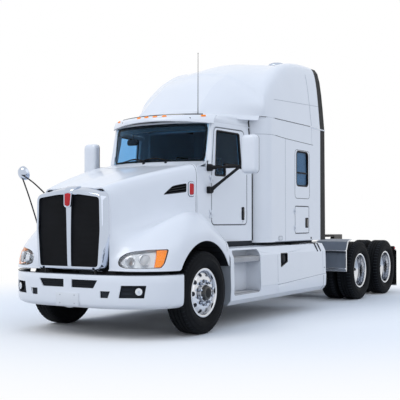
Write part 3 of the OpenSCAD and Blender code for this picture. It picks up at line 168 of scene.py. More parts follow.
WHITE = material("white_paint", (0.83, 0.855, 0.90), 0.32, vary=0.012, rough_vary=0.04, bump=0.02,
                 bump_scale=90, coat=0.4, coat_rough=0.06, grime=0.08, grime_top=1.1,
                 grime_colour=(0.45, 0.44, 0.43))
# Dark matte colour for real panel gaps and joints, and also for dark sheets and discs of painted shade:
# under the cab, in the wheels' hand holes, and behind the grille and the bumper's vents
GAP_AND_SHADE = material("panel_gap", (0.03, 0.034, 0.042), 0.8, spec=0.15, vary=0.2, rough_vary=0.1, bump=0.1)
BLACK = material("black_plastic", (0.009, 0.010, 0.013), 0.52, spec=0.16, vary=0.2, rough_vary=0.08,
                 bump=0.25, bump_scale=900)
GLOSS = material("gloss_black", (0.008, 0.009, 0.011), 0.14, vary=0.2, rough_vary=0.05, coat=0.4)
STEEL_BLACK = material("frame_paint", (0.012, 0.013, 0.016), 0.48, spec=0.2, vary=0.25, rough_vary=0.12,
                       bump=0.15, bump_scale=160, grime=0.55, grime_top=1.3,
                       grime_colour=(0.12, 0.11, 0.10))
IRON = material("cast_iron", (0.13, 0.13, 0.135), 0.62, metal=0.55, vary=0.25, rough_vary=0.12, bump=0.45,
                bump_scale=240, grime=0.5, grime_top=1.2, grime_colour=(0.16, 0.14, 0.12))
ENGINE = material("engine_paint", (0.16, 0.17, 0.18), 0.5, metal=0.2, vary=0.2, rough_vary=0.12, bump=0.35,
                  bump_scale=200)
# The chrome's darker blue tint is a painted sky reflection, as glossy rays see a plain white world
CHROME = material("chrome", (0.52, 0.58, 0.69), 0.07, metal=1.0, vary=0.02, rough_vary=0.03, bump=0.012,
                  bump_scale=30)
ALLOY = material("polished_alloy", (0.66, 0.68, 0.72), 0.16, metal=1.0, vary=0.03, rough_vary=0.06,
                 bump=0.05, bump_scale=160, grime=0.12, grime_top=0.9)
BRUSHED = material("brushed_alloy", (0.46, 0.48, 0.52), 0.32, metal=1.0, vary=0.05, rough_vary=0.08,
                   bump=0.12, bump_scale=120, bump_stretch=(1, 0.04, 1))
RUBBER = material("tyre_rubber", (0.006, 0.007, 0.009), 0.72, spec=0.1, vary=0.22, rough_vary=0.10,
                  bump=0.35, bump_scale=520, grime=0.08, grime_top=0.9, grime_colour=(0.06, 0.058, 0.055))
FLAP = material("flap_rubber", (0.007, 0.008, 0.010), 0.7, spec=0.1, vary=0.2, rough_vary=0.1, bump=0.25,
                bump_scale=260, grime=0.3, grime_top=0.9, grime_colour=(0.10, 0.09, 0.08))
# Blue tint: partly the glass's own tint and partly painted sky, set so that the white world seen through
# two panes comes out sky blue
GLASS = material("tinted_glass_and_sky", (0.40, 0.64, 0.86), 0.02, glass=1.0, ior=1.12, vary=0.03, rough_vary=0.015)
CLEAR = material("clear_lens", (0.95, 0.97, 1.0), 0.03, glass=1.0, ior=1.25, vary=0.01, rough_vary=0.02)
AMBER = material("amber_lens", (1.0, 0.25, 0.006), 0.12, glow=0.22, spec=0.3, vary=0.10, rough_vary=0.04,
                 coat=0.2, bump=0.2, bump_scale=300, bump_stretch=(1, 1, 0.1))
RED = material("red_lens", (0.56, 0.006, 0.016), 0.14, spec=0.25, vary=0.10, rough_vary=0.04, coat=0.15,
               bump=0.25, bump_scale=260)
LAMP = material("lamp_bowl", (0.74, 0.77, 0.82), 0.18, metal=0.55, vary=0.05, rough_vary=0.05, bump=0.25,
                bump_scale=60, bump_stretch=(1, 1, 0.15))
CLOTH = material("seat_cloth", (0.105, 0.105, 0.115), 0.88, vary=0.25, rough_vary=0.06, bump=0.6,
                 bump_scale=900, sheen=0.35)
TRIM = material("cab_trim", (0.05, 0.052, 0.06), 0.72, spec=0.25, vary=0.2, rough_vary=0.1, bump=0.35,
                bump_scale=700)
MIRROR = material("mirror_glass", (0.86, 0.88, 0.9), 0.02, metal=1.0, vary=0.02, rough_vary=0.01)
PLATE = material("plate_blank", (0.74, 0.76, 0.79), 0.38, vary=0.03, rough_vary=0.06, bump=0.1,
                 bump_scale=120)
GREASE = material("greased_steel", (0.035, 0.033, 0.032), 0.34, metal=0.6, vary=0.35, rough_vary=0.2,
                  bump=0.3, bump_scale=80)
# Dark grey, used as paint on small parts and as a painted reflection on the quarter fenders' bright faces
GREY_PAINT_AND_REFLECTION = material("grey_paint_and_reflection", (0.20, 0.225, 0.265), 0.42, vary=0.10, rough_vary=0.1, bump=0.1,
                   bump_scale=120)


# Mesh helpers, all in millimetres with "back" offsets
SHARP_ANGLE, WELD_GAP = 38.0, 0.00002


def spline_rows(rows, per):
    """Catmull-Rom rows through an array of points or of rows of points."""
    r = np.asarray(rows, float)
    out = []
    last = len(r) - 1
    for i in range(last):
        p, q, s, u = r[max(i - 1, 0)], r[i], r[i + 1], r[min(i + 2, last)]
        for j in range(per):
            f = j / per
            out.append(0.5 * (2 * q + (s - p) * f + (2 * p - 5 * q + 4 * s - u) * f * f
                              + (3 * q - p - 3 * s + u) * f ** 3))
    out.append(r[last])
    return np.array(out)


def both_sides(half):
    """A row from the left edge over the middle to the right edge, from its left half."""
    flip = np.array(half[1:], float)
    flip[:, 0] *= -1
    return np.concatenate([np.array(half, float)[::-1], flip])


def unit(v):
    """The direction of a vector, as an array of length 1."""
    v = np.array(v, float)
    return v / max(np.linalg.norm(v), 1e-9)


def square_to(d):
    """A direction at right angles to d."""
    return unit(np.cross([0, 0, 1.0] if abs(d[2]) < 0.9 else [1.0, 0, 0], d))


def ring_round(centre, u, v, radius, sides):
    turns = [math.tau * k / sides for k in range(sides)]
    return [centre + radius * (math.cos(a) * u + math.sin(a) * v) for a in turns]


class Build:
    """One piece: shapes are put into it with their materials, and done() makes the object."""

    def __init__(self, name, body):
        self.name, self.body = name, body
        self.verts, self.faces, self.index, self.mats = [], [], [], []

    def put(self, verts, faces, mat, base=None):
        """Adds faces on new vertices, or on those that start at base."""
        if mat not in self.mats:
            self.mats.append(mat)
        if base is None:
            base = len(self.verts)
        self.verts.extend(Vector(v) for v in verts)
        self.faces.extend([base + i for i in f] for f in faces)
        self.index.extend([self.mats.index(mat)] * len(faces))

    def skin(self, grid, thick, mat, inner=None):
        """A shell behind a grid of points [x, back, z]."""
        g = np.asarray(grid, float)
        nr, nc = g.shape[:2]
        n = np.cross(np.gradient(g, axis=0), np.gradient(g, axis=1))
        n /= np.maximum(np.linalg.norm(n, axis=2, keepdims=True), 1e-9)
        verts = [P(*p) for layer in (g, g - thick * n) for p in layer.reshape(-1, 3)]
        total = nr * nc
        outer, under = [], []
        for r in range(nr - 1):
            for c in range(nc - 1):
                a, b = r * nc + c, r * nc + c + 1
                outer.append((a, a + nc, b + nc, b))
                under.append((total + a, total + b, total + b + nc, total + a + nc))
        ids = np.arange(total).reshape(nr, nc)
        ids = [*ids[0, :-1], *ids[:-1, -1], *ids[-1, :0:-1], *ids[:0:-1, 0]]
        rim = [(a, b, total + b, total + a) for a, b in zip(ids, ids[1:] + ids[:1])]
        base = len(self.verts)
        self.put(verts, outer + rim, mat)
        self.put((), under, inner or mat, base)

    def loft(self, rings, mat, caps=True):
        """Rings of the same number of points, joined one to the next."""
        n = len(rings[0])
        last = (len(rings) - 1) * n
        faces = []
        for r in range(0, last, n):
            for i in range(n):
                j = (i + 1) % n
                faces.append((r + i, r + j, r + n + j, r + n + i))
        if caps:
            faces.append(tuple(range(n - 1, -1, -1)))
            faces.append(tuple(range(last, last + n)))
        self.put([P(*p) for ring in rings for p in ring], faces, mat)

    def tube(self, points, radius, mat, sides=14, radii=None):
        pts = [np.array(p, float) for p in points]
        rings = []
        for i, p in enumerate(pts):
            d = unit(pts[min(i + 1, len(pts) - 1)] - pts[max(i - 1, 0)])
            u = unit(u - d * (u @ d)) if i else square_to(d)
            rings.append(ring_round(p, u, np.cross(d, u), radii[i] if radii else radius, sides))
        self.loft(rings, mat)

    def box(self, x0, x1, b0, b1, z0, z1, mat, round_by=0.0, segments=3, turn=None, about=None):
        """A block between two x in either order, with rounded edges and a turn about a point if wanted."""
        bm = bmesh.new()
        bmesh.ops.create_cube(bm, size=1.0)
        low, high = P(min(x0, x1), b0, z0), P(max(x0, x1), b1, z1)
        for v in bm.verts:
            v.co = Vector((low[i] + (v.co[i] + 0.5) * (high[i] - low[i]) for i in range(3)))
        if round_by:
            limit = min(abs(high[i] - low[i]) for i in range(3)) * 0.49
            bmesh.ops.bevel(bm, geom=list(bm.edges), offset=min(round_by / 1000, limit), segments=segments,
                            profile=0.5, affect="EDGES")
        if turn is not None:
            pivot = Matrix.Translation(P(*about))
            bmesh.ops.transform(bm, matrix=pivot @ turn.to_4x4() @ pivot.inverted(), verts=bm.verts)
        bm.verts.index_update()
        self.put([v.co for v in bm.verts], [[v.index for v in f.verts] for f in bm.faces], mat)
        bm.free()

    def lathe(self, profile, centre, mat, segments=64, side=1):
        """A ring turned round the x axis: profile rows are [radius, x outward]."""
        verts, faces = [], []
        n = len(profile)
        for s in range(segments):
            a = math.tau * s / segments
            for radius, x in profile:
                verts.append(P(centre[0] + side * x, centre[1] + radius * math.sin(a),
                               centre[2] + radius * math.cos(a)))
            t = (s + 1) % segments
            for i in range(n - 1):
                quad = (s * n + i, t * n + i, t * n + i + 1, s * n + i + 1)
                faces.append(quad if side > 0 else quad[::-1])
        self.put(verts, faces, mat)

    def disc_stack(self, rows, centre, axis, mat, sides=24):
        """A turned shape along any axis: rows are [radius, distance along the axis]."""
        d = unit(axis)
        u = square_to(d)
        middle = np.array(centre, float)
        self.loft([ring_round(middle + d * along, u, np.cross(d, u), max(radius, 0.05), sides)
                   for radius, along in rows], mat)

    def slab(self, outline, place, low, high, mat):
        """A pad over an outline [s, t], between two heights above a surface."""
        self.loft([[place(s, t, out) for s, t in outline] for out in (low, high)], mat)

    def done(self, angle=SHARP_ANGLE, replaces=()):
        mesh = bpy.data.meshes.new(self.name)
        mesh.from_pydata([tuple(v) for v in self.verts], [], self.faces)
        for m in self.mats:
            mesh.materials.append(m)
        mesh.polygons.foreach_set("material_index", self.index)
        mesh.update()
        bm = bmesh.new()
        bm.from_mesh(mesh)
        bmesh.ops.recalc_face_normals(bm, faces=bm.faces)
        bm.to_mesh(mesh)
        bm.free()
        mesh.shade_smooth()
        mesh.set_sharp_from_angle(angle=math.radians(angle))
        obj = bpy.data.objects.new(self.name, mesh)
        scene.collection.objects.link(obj)
        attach(obj, self.body)
        if replaces:
            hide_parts(*replaces)
        return obj


def cut(obj, cutters):
    """Takes the cutters' volumes out of obj, then removes them."""
    for c in cutters:
        mod = obj.modifiers.new("cut", "BOOLEAN")
        mod.operation, mod.solver, mod.object = "DIFFERENCE", "EXACT", c
    bpy.context.view_layer.update()
    made = bpy.data.meshes.new_from_object(obj.evaluated_get(bpy.context.evaluated_depsgraph_get()))
    obj.modifiers.clear()
    obj.data = made
    for c in cutters:
        bpy.data.objects.remove(c)
    made.shade_smooth()
    made.set_sharp_from_angle(angle=math.radians(SHARP_ANGLE))


def hull_object(points):
    """A convex cutter round points in metres."""
    mesh = bpy.data.meshes.new("cutter")
    bm = bmesh.new()
    for p in points:
        bm.verts.new(p)
    bmesh.ops.convex_hull(bm, input=bm.verts)
    loose = [v for v in bm.verts if not v.link_faces]
    bmesh.ops.delete(bm, geom=loose, context="VERTS")
    bmesh.ops.recalc_face_normals(bm, faces=bm.faces)
    bm.to_mesh(mesh)
    bm.free()
    obj = bpy.data.objects.new("cutter", mesh)
    scene.collection.objects.link(obj)
    return obj


def rounded_outline(x0, x1, y0, y1, r, steps=6):
    """An oblong [s, t] with round corners."""
    out = []
    for cx, cy, a0 in ((x1 - r, y1 - r, 0), (x0 + r, y1 - r, 90), (x0 + r, y0 + r, 180),
                       (x1 - r, y0 + r, 270)):
        for i in range(steps + 1):
            a = math.radians(a0 + 90 * i / steps)
            out.append((cx + r * math.cos(a), cy + r * math.sin(a)))
    return out


# Finishes of the CAD nodes
def dress(names, mat):
    for n in names:
        o = nodes[n]
        o.data.materials.clear()
        o.data.materials.append(mat)
        weld = o.modifiers.new("weld", "WELD")
        weld.merge_threshold = WELD_GAP


SIDES = (("left", 1), ("right", -1))
dress(["cab_front", "cab_sides", "sleeper_walls", "side_extenders", "side_fairings", "door_left",
       "door_right", "luggage_door_left", "luggage_door_right", "bumper", "hood", "roof_fairing",
       "cab_roof", "sun_visor", "mirror_heads"], WHITE)
dress(["frame", "rear_suspension", "fifth_wheel_base", "floor"], STEEL_BLACK)
dress(["front_axle", "drive_axles", "driveline", "knuckle_left", "knuckle_right", "tie_rod"], IRON)
dress(["engine"], ENGINE)
dress(["fuel_tanks", "quarter_fenders"], BRUSHED)
dress(["fifth_wheel_plate"], GREASE)
dress(["grille_surround"], CHROME)
for name, side in SIDES:
    dress(["wheel_front_" + name] + [f"wheels_drive{k}_{name}" for k in (1, 2)], ALLOY)
    dress(["tyre_front_" + name] + [f"tyres_drive{k}_{name}" for k in (1, 2)], RUBBER)
dress(["mud_flaps"], FLAP)
dress(["extender_trim", "bumper_inserts", "mirror_arms", "roof_fittings", "grilles", "hood_mirror",
       "dashboard"], BLACK)
dress(["fixed_glass", "door_glass_left", "door_glass_right"], GLASS)
dress(["headlamps", "fog_lamps"], CLEAR)
dress(["tail_lamps"], RED)
dress(["seats", "bunk"], CLOTH)


# Floor, studio light and background
PURE_WHITE = (1, 1, 1, 1)
SKY_LOW, SKY_HIGH, SKY_STRENGTH = (0.86, 0.915, 1.0, 1), (0.66, 0.79, 1.0, 1), 0.79
SUNS = (("key", 0.92, 30, (0.30, 0.62, -0.72)), ("fill", 0.35, 60, (-0.85, 0.1, -0.5)))
SUN_COLOUR = (1.0, 0.975, 0.94)
FLOOR_HALF, FLOOR_LIT, FLOOR_SEEN = 60.0, (0.55, 0.56, 0.58, 1), (0.98, 0.98, 0.98, 1)
FADE_FROM, FADE_TO = 3.0, 8.0


def seen_directly(tree):
    """1 for camera, glossy and transmission rays, which all show the white background."""
    rays = node(tree, "LightPath").outputs
    total = rays["Is Camera Ray"]
    for kind in ("Is Glossy Ray", "Is Transmission Ray"):
        total = maths(tree, "MAXIMUM", total, rays[kind])
    return total


def studio_light():
    world = bpy.data.worlds.new("studio")
    scene.world = world
    world.use_nodes = True
    tree = world.node_tree
    tree.nodes.clear()
    out, mix = node(tree, "OutputWorld"), node(tree, "MixShader")
    white = node(tree, "Background", Color=PURE_WHITE, Strength=1.0)
    sky = node(tree, "Background", Strength=SKY_STRENGTH)
    coord, split = node(tree, "TexCoord"), node(tree, "SeparateXYZ")
    ramp = colour_ramp(tree, (0.0, SKY_LOW), (0.75, SKY_HIGH))
    wire(tree, (coord.outputs["Generated"], split.inputs["Vector"]),
         (split.outputs["Z"], ramp.inputs["Fac"]), (ramp.outputs["Color"], sky.inputs["Color"]),
         (seen_directly(tree), mix.inputs["Fac"]), (sky.outputs["Background"], mix.inputs[1]),
         (white.outputs["Background"], mix.inputs[2]), (mix.outputs["Shader"], out.inputs["Surface"]))
    for name, energy, angle, direction in SUNS:
        lamp = bpy.data.lights.new(name, "SUN")
        lamp.energy, lamp.angle, lamp.color = energy, math.radians(angle), SUN_COLOUR
        o = bpy.data.objects.new(name, lamp)
        o.rotation_mode = "QUATERNION"
        o.rotation_quaternion = Vector(direction).to_track_quat("-Z", "Y")
        scene.collection.objects.link(o)


def studio_floor():
    """A matte floor that fades into the white background away from the truck."""
    h = FLOOR_HALF
    mesh = bpy.data.meshes.new("floor")
    mesh.from_pydata([(-h, -h, 0), (h, -h, 0), (h, h, 0), (-h, h, 0)], [], [(0, 1, 2, 3)])
    ground = bpy.data.objects.new("studio_floor", mesh)
    scene.collection.objects.link(ground)
    m = bpy.data.materials.new("studio_floor")
    m.use_nodes = True
    tree = m.node_tree
    tree.nodes.clear()
    out, blend = node(tree, "OutputMaterial"), node(tree, "MixShader")
    matte = node(tree, "BsdfDiffuse")
    shade = node(tree, "MixRGB", Color1=FLOOR_LIT, Color2=FLOOR_SEEN)
    plain = node(tree, "Emission", Color=PURE_WHITE, Strength=1.0)
    coord, far = node(tree, "TexCoord"), node(tree, "VectorMath")
    far.operation = "LENGTH"
    fade = node(tree, "MapRange", From_Min=FADE_FROM, From_Max=FADE_TO)
    fade.interpolation_type = "SMOOTHSTEP"
    direct = seen_directly(tree)
    both = maths(tree, "MULTIPLY", fade.outputs["Result"], direct)
    wire(tree, (coord.outputs["Object"], far.inputs[0]), (far.outputs["Value"], fade.inputs["Value"]),
         (direct, shade.inputs["Fac"]), (shade.outputs["Color"], matte.inputs["Color"]),
         (both, blend.inputs["Fac"]), (matte.outputs["BSDF"], blend.inputs[1]),
         (plain.outputs["Emission"], blend.inputs[2]), (blend.outputs["Shader"], out.inputs["Surface"]))
    mesh.materials.append(m)


studio_light()
studio_floor()


# Hood, rebuilt as a smooth skin from the same rows as the solid
# Rows: back and z of the middle, x and z of the crown's edge and of the side, x, back and z of two places
# on the fender, and x and back of the lower edge
HOOD_TABLE = [
    [-1037, 1796, 466, 1734, 516, 1290, 524, -1038, 1000, 530, -1046, 900, 534, -1054],
    [-880, 1850, 512, 1782, 572, 1300, 716, -940, 1090, 812, -1008, 950, 834, -1034],
    [-620, 1922, 576, 1852, 640, 1340, 872, -724, 1240, 1038, -834, 1030, 1064, -884],
    [-340, 1990, 648, 1922, 716, 1395, 962, -450, 1395, 1160, -602, 1120, 1186, -690],
    [-70, 2046, 716, 1984, 780, 1440, 1010, -150, 1492, 1198, -330, 1225, 1212, -500],
    [150, 2088, 770, 2030, 822, 1455, 1014, 160, 1480, 1200, 60, 1275, 1216, -60],
    [290, 2112, 804, 2058, 838, 1450, 1008, 370, 1395, 1196, 340, 1190, 1214, 290],
    [382, 2128, 826, 2074, 844, 1445, 1000, 540, 1275, 1190, 556, 1090, 1210, 570],
]
HOOD_BOTTOM, ARCH = 812.0, 640.0


def arch_height(back):
    """Height of the hood's lower edge, which rises over the front wheel."""
    if abs(back) < ARCH:
        return max(HOOD_BOTTOM, AXLE_Z + math.sqrt(ARCH * ARCH - back * back))
    return HOOD_BOTTOM


def hood_grid(rows_per, cols_per):
    """The hood's surface from its cross-sections, each given by its top, shoulder and side points."""
    grid = []
    for t in spline_rows(HOOD_TABLE, rows_per):
        half = [[0, t[0], t[1]], [t[2] * 0.6, t[0], t[1] - 0.3 * (t[1] - t[3])], [t[2], t[0], t[3]],
                [t[4], t[0], t[5]], [t[6], t[7], t[8]], [t[9], t[10], t[11]],
                [t[12], t[13], arch_height(t[13])]]
        grid.append(both_sides(spline_rows(half, cols_per)))
    return np.array(grid)


HOOD = hood_grid(9, 8)
b = Build("hood_skin", "hood")
b.skin(HOOD, 16, WHITE, BLACK)
hood = b.done(replaces=["hood"])

LAMP_TURN = math.radians(51)


def lamp_axes(side):
    """Outward direction of a headlamp, and the two directions of its face."""
    out = np.array([side * math.sin(LAMP_TURN), -math.cos(LAMP_TURN), 0.0])
    across = np.array([side * math.cos(LAMP_TURN), math.sin(LAMP_TURN), 0.0])
    return out, across, np.array([0, 0, 1.0])


def hull_2d(points):
    """Indices of the convex outline of points in a plane, in order."""
    idx = sorted(range(len(points)), key=lambda i: (points[i][0], points[i][1]))

    def turn_of(o, a, c):
        return ((points[a][0] - points[o][0]) * (points[c][1] - points[o][1])
                - (points[a][1] - points[o][1]) * (points[c][0] - points[o][0]))

    def chain(order):
        out = []
        for i in order:
            while len(out) >= 2 and turn_of(out[-2], out[-1], i) <= 0:
                out.pop()
            out.append(i)
        return out

    low, high = chain(idx), chain(idx[::-1])
    return low[:-1] + high[:-1]


# Roof fairing and cab roof, rebuilt as smooth skins
SLEEPER_TOP, ROOF_TOP = 2868.0, 3930.0
# Rows: back, half-widths of base, flank and crease, and the shares of the rise at flank, crease and middle
ROOF_TABLE = [
    [920, 470, 466, 440, 0.018, 0.022, 0.028], [966, 520, 515, 494, 0.020, 0.034, 0.058],
    [1120, 650, 600, 470, 0.062, 0.168, 0.198], [1460, 862, 792, 452, 0.185, 0.436, 0.468],
    [1747, 1050, 1026, 448, 0.192, 0.586, 0.622], [1860, 1090, 1042, 446, 0.330, 0.645, 0.688],
    [2200, 1116, 1022, 436, 0.575, 0.760, 0.805], [2660, 1118, 1004, 424, 0.773, 0.880, 0.925],
    [3200, 1118, 1000, 412, 0.852, 0.958, 0.990], [3659, 1118, 1000, 410, 0.866, 0.966, 1],
]


def rise_to(share):
    """Height at a share of the roof fairing's rise."""
    return SLEEPER_TOP + (ROOF_TOP - SLEEPER_TOP) * share


def roof_grid(rows_per, cols_per):
    """The roof fairing's surface: each section is a crown and a flank that meet at a crease."""
    grid = []
    for t in ROOF_TABLE:
        crease = [t[3], t[0], rise_to(t[5])]
        crown = spline_rows([[-t[3], t[0], rise_to(t[5])], [0, t[0], rise_to(t[6])], crease],
                            cols_per)[cols_per:-1]
        cheek = [(t[2] + t[3]) / 2, t[0], rise_to(0.4 * t[4] + 0.6 * t[5])]
        flank = spline_rows([crease, cheek, [t[2], t[0], rise_to(t[4])], [t[1], t[0], SLEEPER_TOP + 3]],
                            cols_per)
        grid.append(both_sides(np.concatenate([crown, flank])))
    return spline_rows(grid, rows_per)


ROOF = roof_grid(8, 12)
b = Build("roof_fairing_skin", "chassis")
b.skin(ROOF, 18, WHITE, TRIM)
b.done(replaces=["roof_fairing"])

CAB_FRONT_HALF, CAB_BACK_HALF, CAB_TOP, CAB_LEAN, BELT = 850.0, 950.0, 2720.0, 58.0, 2050.0
DOOR_FRONT, SLEEPER_FRONT = 716.0, 1680.0
TAPER = math.atan((CAB_BACK_HALF - CAB_FRONT_HALF) / (SLEEPER_FRONT - DOOR_FRONT))
# Rows: back, bow at the middle, share of the half-width at the crown's edge, z there and z at the middle
CAB_ROOF_TABLE = [
    [820, 190, 0.80, 2756, 2772], [980, 90, 0.86, 2846, SLEEPER_TOP - 9],
    [1330, 30, 0.93, 2850, SLEEPER_TOP - 8],
    [SLEEPER_FRONT - 4, 0, 0.95, 2848, SLEEPER_TOP - 8],
]


def cab_roof_grid(rows_per, cols_per):
    """The cab roof's surface, bowed forward and bound to the cab's tapered sides."""
    grid = []
    for t in CAB_ROOF_TABLE:
        edge = CAB_FRONT_HALF + (t[0] - DOOR_FRONT) * math.tan(TAPER) - CAB_LEAN - 2

        def spot(u, z):
            return [edge * u, t[0] - t[1] * (1 - u * u), z]

        half = [spot(0, t[4]), spot(0.5 * t[2], t[4] - 4), spot(t[2], t[3]), spot(0.99, CAB_TOP + 60),
                spot(1, CAB_TOP + 1.9)]
        grid.append(both_sides(spline_rows(half, cols_per)))
    return spline_rows(grid, rows_per)


CAB_ROOF = cab_roof_grid(8, 8)
b = Build("cab_roof_skin", "chassis")
b.skin(CAB_ROOF, 18, WHITE, TRIM)
b.done(replaces=["cab_roof"])


# Places on the surfaces that carry small parts
def grid_tree(grid):
    """A grid of points as a surface that lines can be shot at."""
    g = np.asarray(grid, float)
    nr, nc = g.shape[:2]
    verts = [P(*p) for p in g.reshape(-1, 3)]
    faces = [(r * nc + c, (r + 1) * nc + c, (r + 1) * nc + c + 1, r * nc + c + 1)
             for r in range(nr - 1) for c in range(nc - 1)]
    return BVHTree.FromPolygons(verts, faces)


def mm(point):
    """The opposite of P."""
    return np.array([point[0] * 1000, (point[1] - AXLE_Y) * 1000, point[2] * 1000])


HOOD_TREE, ROOF_TREE = grid_tree(HOOD), grid_tree(ROOF)


def onto(tree, start, way):
    """Where a line from a point meets a surface, and the surface's normal towards the point."""
    hit, normal, _, _ = tree.ray_cast(P(*start), Vector(way))
    if normal.dot(Vector(way)) > 0:
        normal = -normal
    return mm(hit), np.array(normal)


def from_side(tree, back, z, side=1):
    return onto(tree, (side * 2500, back, z), (-side, 0, 0))


def from_front(tree, x, z):
    return onto(tree, (x, -3000, z), (0, 1, 0))


def from_top(tree, x, back):
    return onto(tree, (x, back, 6000), (0, 0, -1))


def on_hood(side):
    """A function that turns [back, z, out] into a point on the hood's side."""
    def place(s, t, out):
        p, n = from_side(HOOD_TREE, s, t, side)
        return p + n * out
    return place


def cab_side(y, z, out=0.0, side=1):
    """A point on the cab's tapered side: y rearward from the door's front edge, out from the skin."""
    lean = -CAB_LEAN * max(0.0, z - BELT) / (CAB_TOP - BELT)
    x = CAB_FRONT_HALF + (lean + out) * math.cos(TAPER) + y * math.sin(TAPER)
    return np.array([side * x, DOOR_FRONT - (lean + out) * math.sin(TAPER) + y * math.cos(TAPER), z])


def ribbon(b, points, normals, width, mat, lift=0.8, depth=2.0):
    """A thin strip that follows points on a surface."""
    pts = [np.array(p, float) for p in points]
    rings = []
    for i, p in enumerate(pts):
        d = pts[min(i + 1, len(pts) - 1)] - pts[max(i - 1, 0)]
        d /= np.linalg.norm(d)
        n = np.array(normals[i], float)
        across = np.cross(d, n)
        across /= np.linalg.norm(across)
        w = across * width / 2
        rings.append([p + n * lift - w, p + n * lift + w, p - n * depth + w, p - n * depth - w])
    b.loft(rings, mat)


def band(b, outline, place, inner, outer, low, high, mat):
    """A closed frame along an outline [s, t], from inner to outer grow and between two heights."""
    o = np.array(outline, float)
    nxt, prv = np.roll(o, -1, axis=0), np.roll(o, 1, axis=0)
    d = nxt - prv
    d /= np.linalg.norm(d, axis=1, keepdims=True)
    n = np.stack([d[:, 1], -d[:, 0]], axis=1)
    if np.sum(n * (o - o.mean(axis=0))) < 0:
        n = -n
    rounded = min(abs(outer - inner), abs(high - low)) * 0.3
    rows = [(inner, low), (inner, high - rounded), (inner + rounded, high), (outer - rounded, high),
            (outer, high - rounded), (outer, low)]
    rings = [[place(*(p + k * grow), lift) for grow, lift in rows] for p, k in zip(o, n)]
    rings.append(rings[0])
    b.loft(rings, mat, caps=False)


def soft_outline(points, radius, steps=6):
    """A polygon [s, t] with its corners rounded."""
    p = np.array(points, float)
    out = []
    n = len(p)
    for i in range(n):
        a, c, e = p[i - 1], p[i], p[(i + 1) % n]
        u, v = a - c, e - c
        lu, lv = np.linalg.norm(u), np.linalg.norm(v)
        r = min(radius, lu * 0.48, lv * 0.48)
        q0, q1 = c + u / lu * r, c + v / lv * r
        for k in range(steps + 1):
            f = k / steps
            out.append(q0 * (1 - f) ** 2 + 2 * c * f * (1 - f) + q1 * f * f)
    return out


def dense_outline(outline, spacing):
    """The same outline with points no further apart than the spacing."""
    out = []
    n = len(outline)
    for i in range(n):
        p, q = np.array(outline[i], float), np.array(outline[(i + 1) % n], float)
        k = max(1, int(np.linalg.norm(q - p) / spacing))
        out.extend(p + (q - p) * j / k for j in range(k))
    return out


# Sun visor, with a dark sheet of painted shade in the slot above it, and the marker lamps
# Rows: half-width, back at the ends, bow at the middle, z at the ends and rise at the middle
VISOR_TABLE = [[842, 860, 274, 2800, 8], [834, 816, 300, 2738, 38], [832, 800, 300, 2688, 44]]


def visor_grid(cols, rows_per):
    rows = []
    for t in VISOR_TABLE:
        us = np.linspace(1, -1, cols)
        rows.append([[t[0] * u, t[1] - t[2] * (1 - u * u), t[3] + t[4] * (1 - u * u)] for u in us])
    return spline_rows(rows, rows_per)


VISOR = visor_grid(49, 6)
VISOR_TREE = grid_tree(VISOR)
b = Build("sun_visor_blade", "chassis")
b.skin(VISOR, 10, BLACK, WHITE)
for s in (-1, 1):
    b.box(s * 40, s * 60, 515, 629.7, 2754, 2771, BLACK, 2)
    b.box(s * 550, s * 570, 640, 720, 2752, 2770, BLACK, 2)
b.tube([p + np.array([0, 4, 2]) for p in VISOR[-1]], 7, WHITE, 10)
b.done(replaces=["sun_visor"])

b = Build("visor_slot_shade", "chassis")
# Dark sheet in the gap between the visor and the roof: painted shade
b.skin([[p + np.array([0, *shift]) for p in VISOR[0][5:44]] for shift in ((46, 26), (34, 4), (26, -16))], 6,
       GLOSS)
b.done()

b = Build("marker_lamps", "chassis")
for x in (-700, -210, -70, 70, 210, 700):
    p, n = from_front(VISOR_TREE, x, 2786)
    across = unit(np.cross(n, [0, 0, 1.0]))

    def marker(s, t, out, p=p, n=n, a=across, r=np.cross(across, n)):
        return p + a * s + r * t + n * out

    shape = rounded_outline(-38, 38, -14, 14, 12)
    b.slab(shape, marker, -3, 6, WHITE)
    b.loft([[marker(s * shrink, t * shrink, lift) for s, t in shape]
            for shrink, lift in ((0.92, 5), (0.9016, 14), (0.8096, 20), (0.552, 24), (0.184, 25))], AMBER)
b.done()


# Front bumper as a smooth sweep with its openings
BUMPER_FRONT = -1165.0
BUMPER_FLAT, BUMPER_BOW, BUMPER_SWEEP = 350.0, 870.0, 650.0
BUMPER_COLUMNS, CORNER_STEPS, CORNER_RADIUS = 36, 16, 8.0
# Rows: z and the inset from the bumper's outer face
BUMPER_SECTION = [[765, 16], [759, 5], [751, 0], [660, 0], [562, 0], [480, 2], [432, 6], [412, 12],
                  [396, 22], [372, 66]]


def bumper_point(deg, inset):
    """A place [x, back] on the bumper's plan line at an angle, set in from its outer skin."""
    a = math.radians(deg)
    s = -1 if deg < 0 else 1
    n = unit([BUMPER_SWEEP * math.sin(a), -BUMPER_BOW * math.cos(a)])
    return np.array([s * BUMPER_FLAT + BUMPER_BOW * math.sin(a) - inset * n[0],
                     BUMPER_FRONT + BUMPER_SWEEP * (1 - math.cos(a)) - inset * n[1]])


def bumper_line():
    """Angles along the bumper, from its left end to its right end."""
    left = [90.0 * i / BUMPER_COLUMNS for i in range(BUMPER_COLUMNS, 0, -1)]
    return left + [0.0, -0.0001] + [-a for a in left[::-1]]


BUMPER = np.array([[[*bumper_point(a, inset), z] for z, inset in BUMPER_SECTION] for a in bumper_line()])
BUMPER_TREE = grid_tree(BUMPER)
# Rows: inner and outer x at the top, inner and outer x at the bottom, and z of the bottom and the top
VENT, SMALL_VENT, FOG = OPENINGS = [
    [64, 440, 64, 385, 612, 702], [484, 606, 484, 578, 505, 580], [740, 990, 712, 970, 508, 648],
]


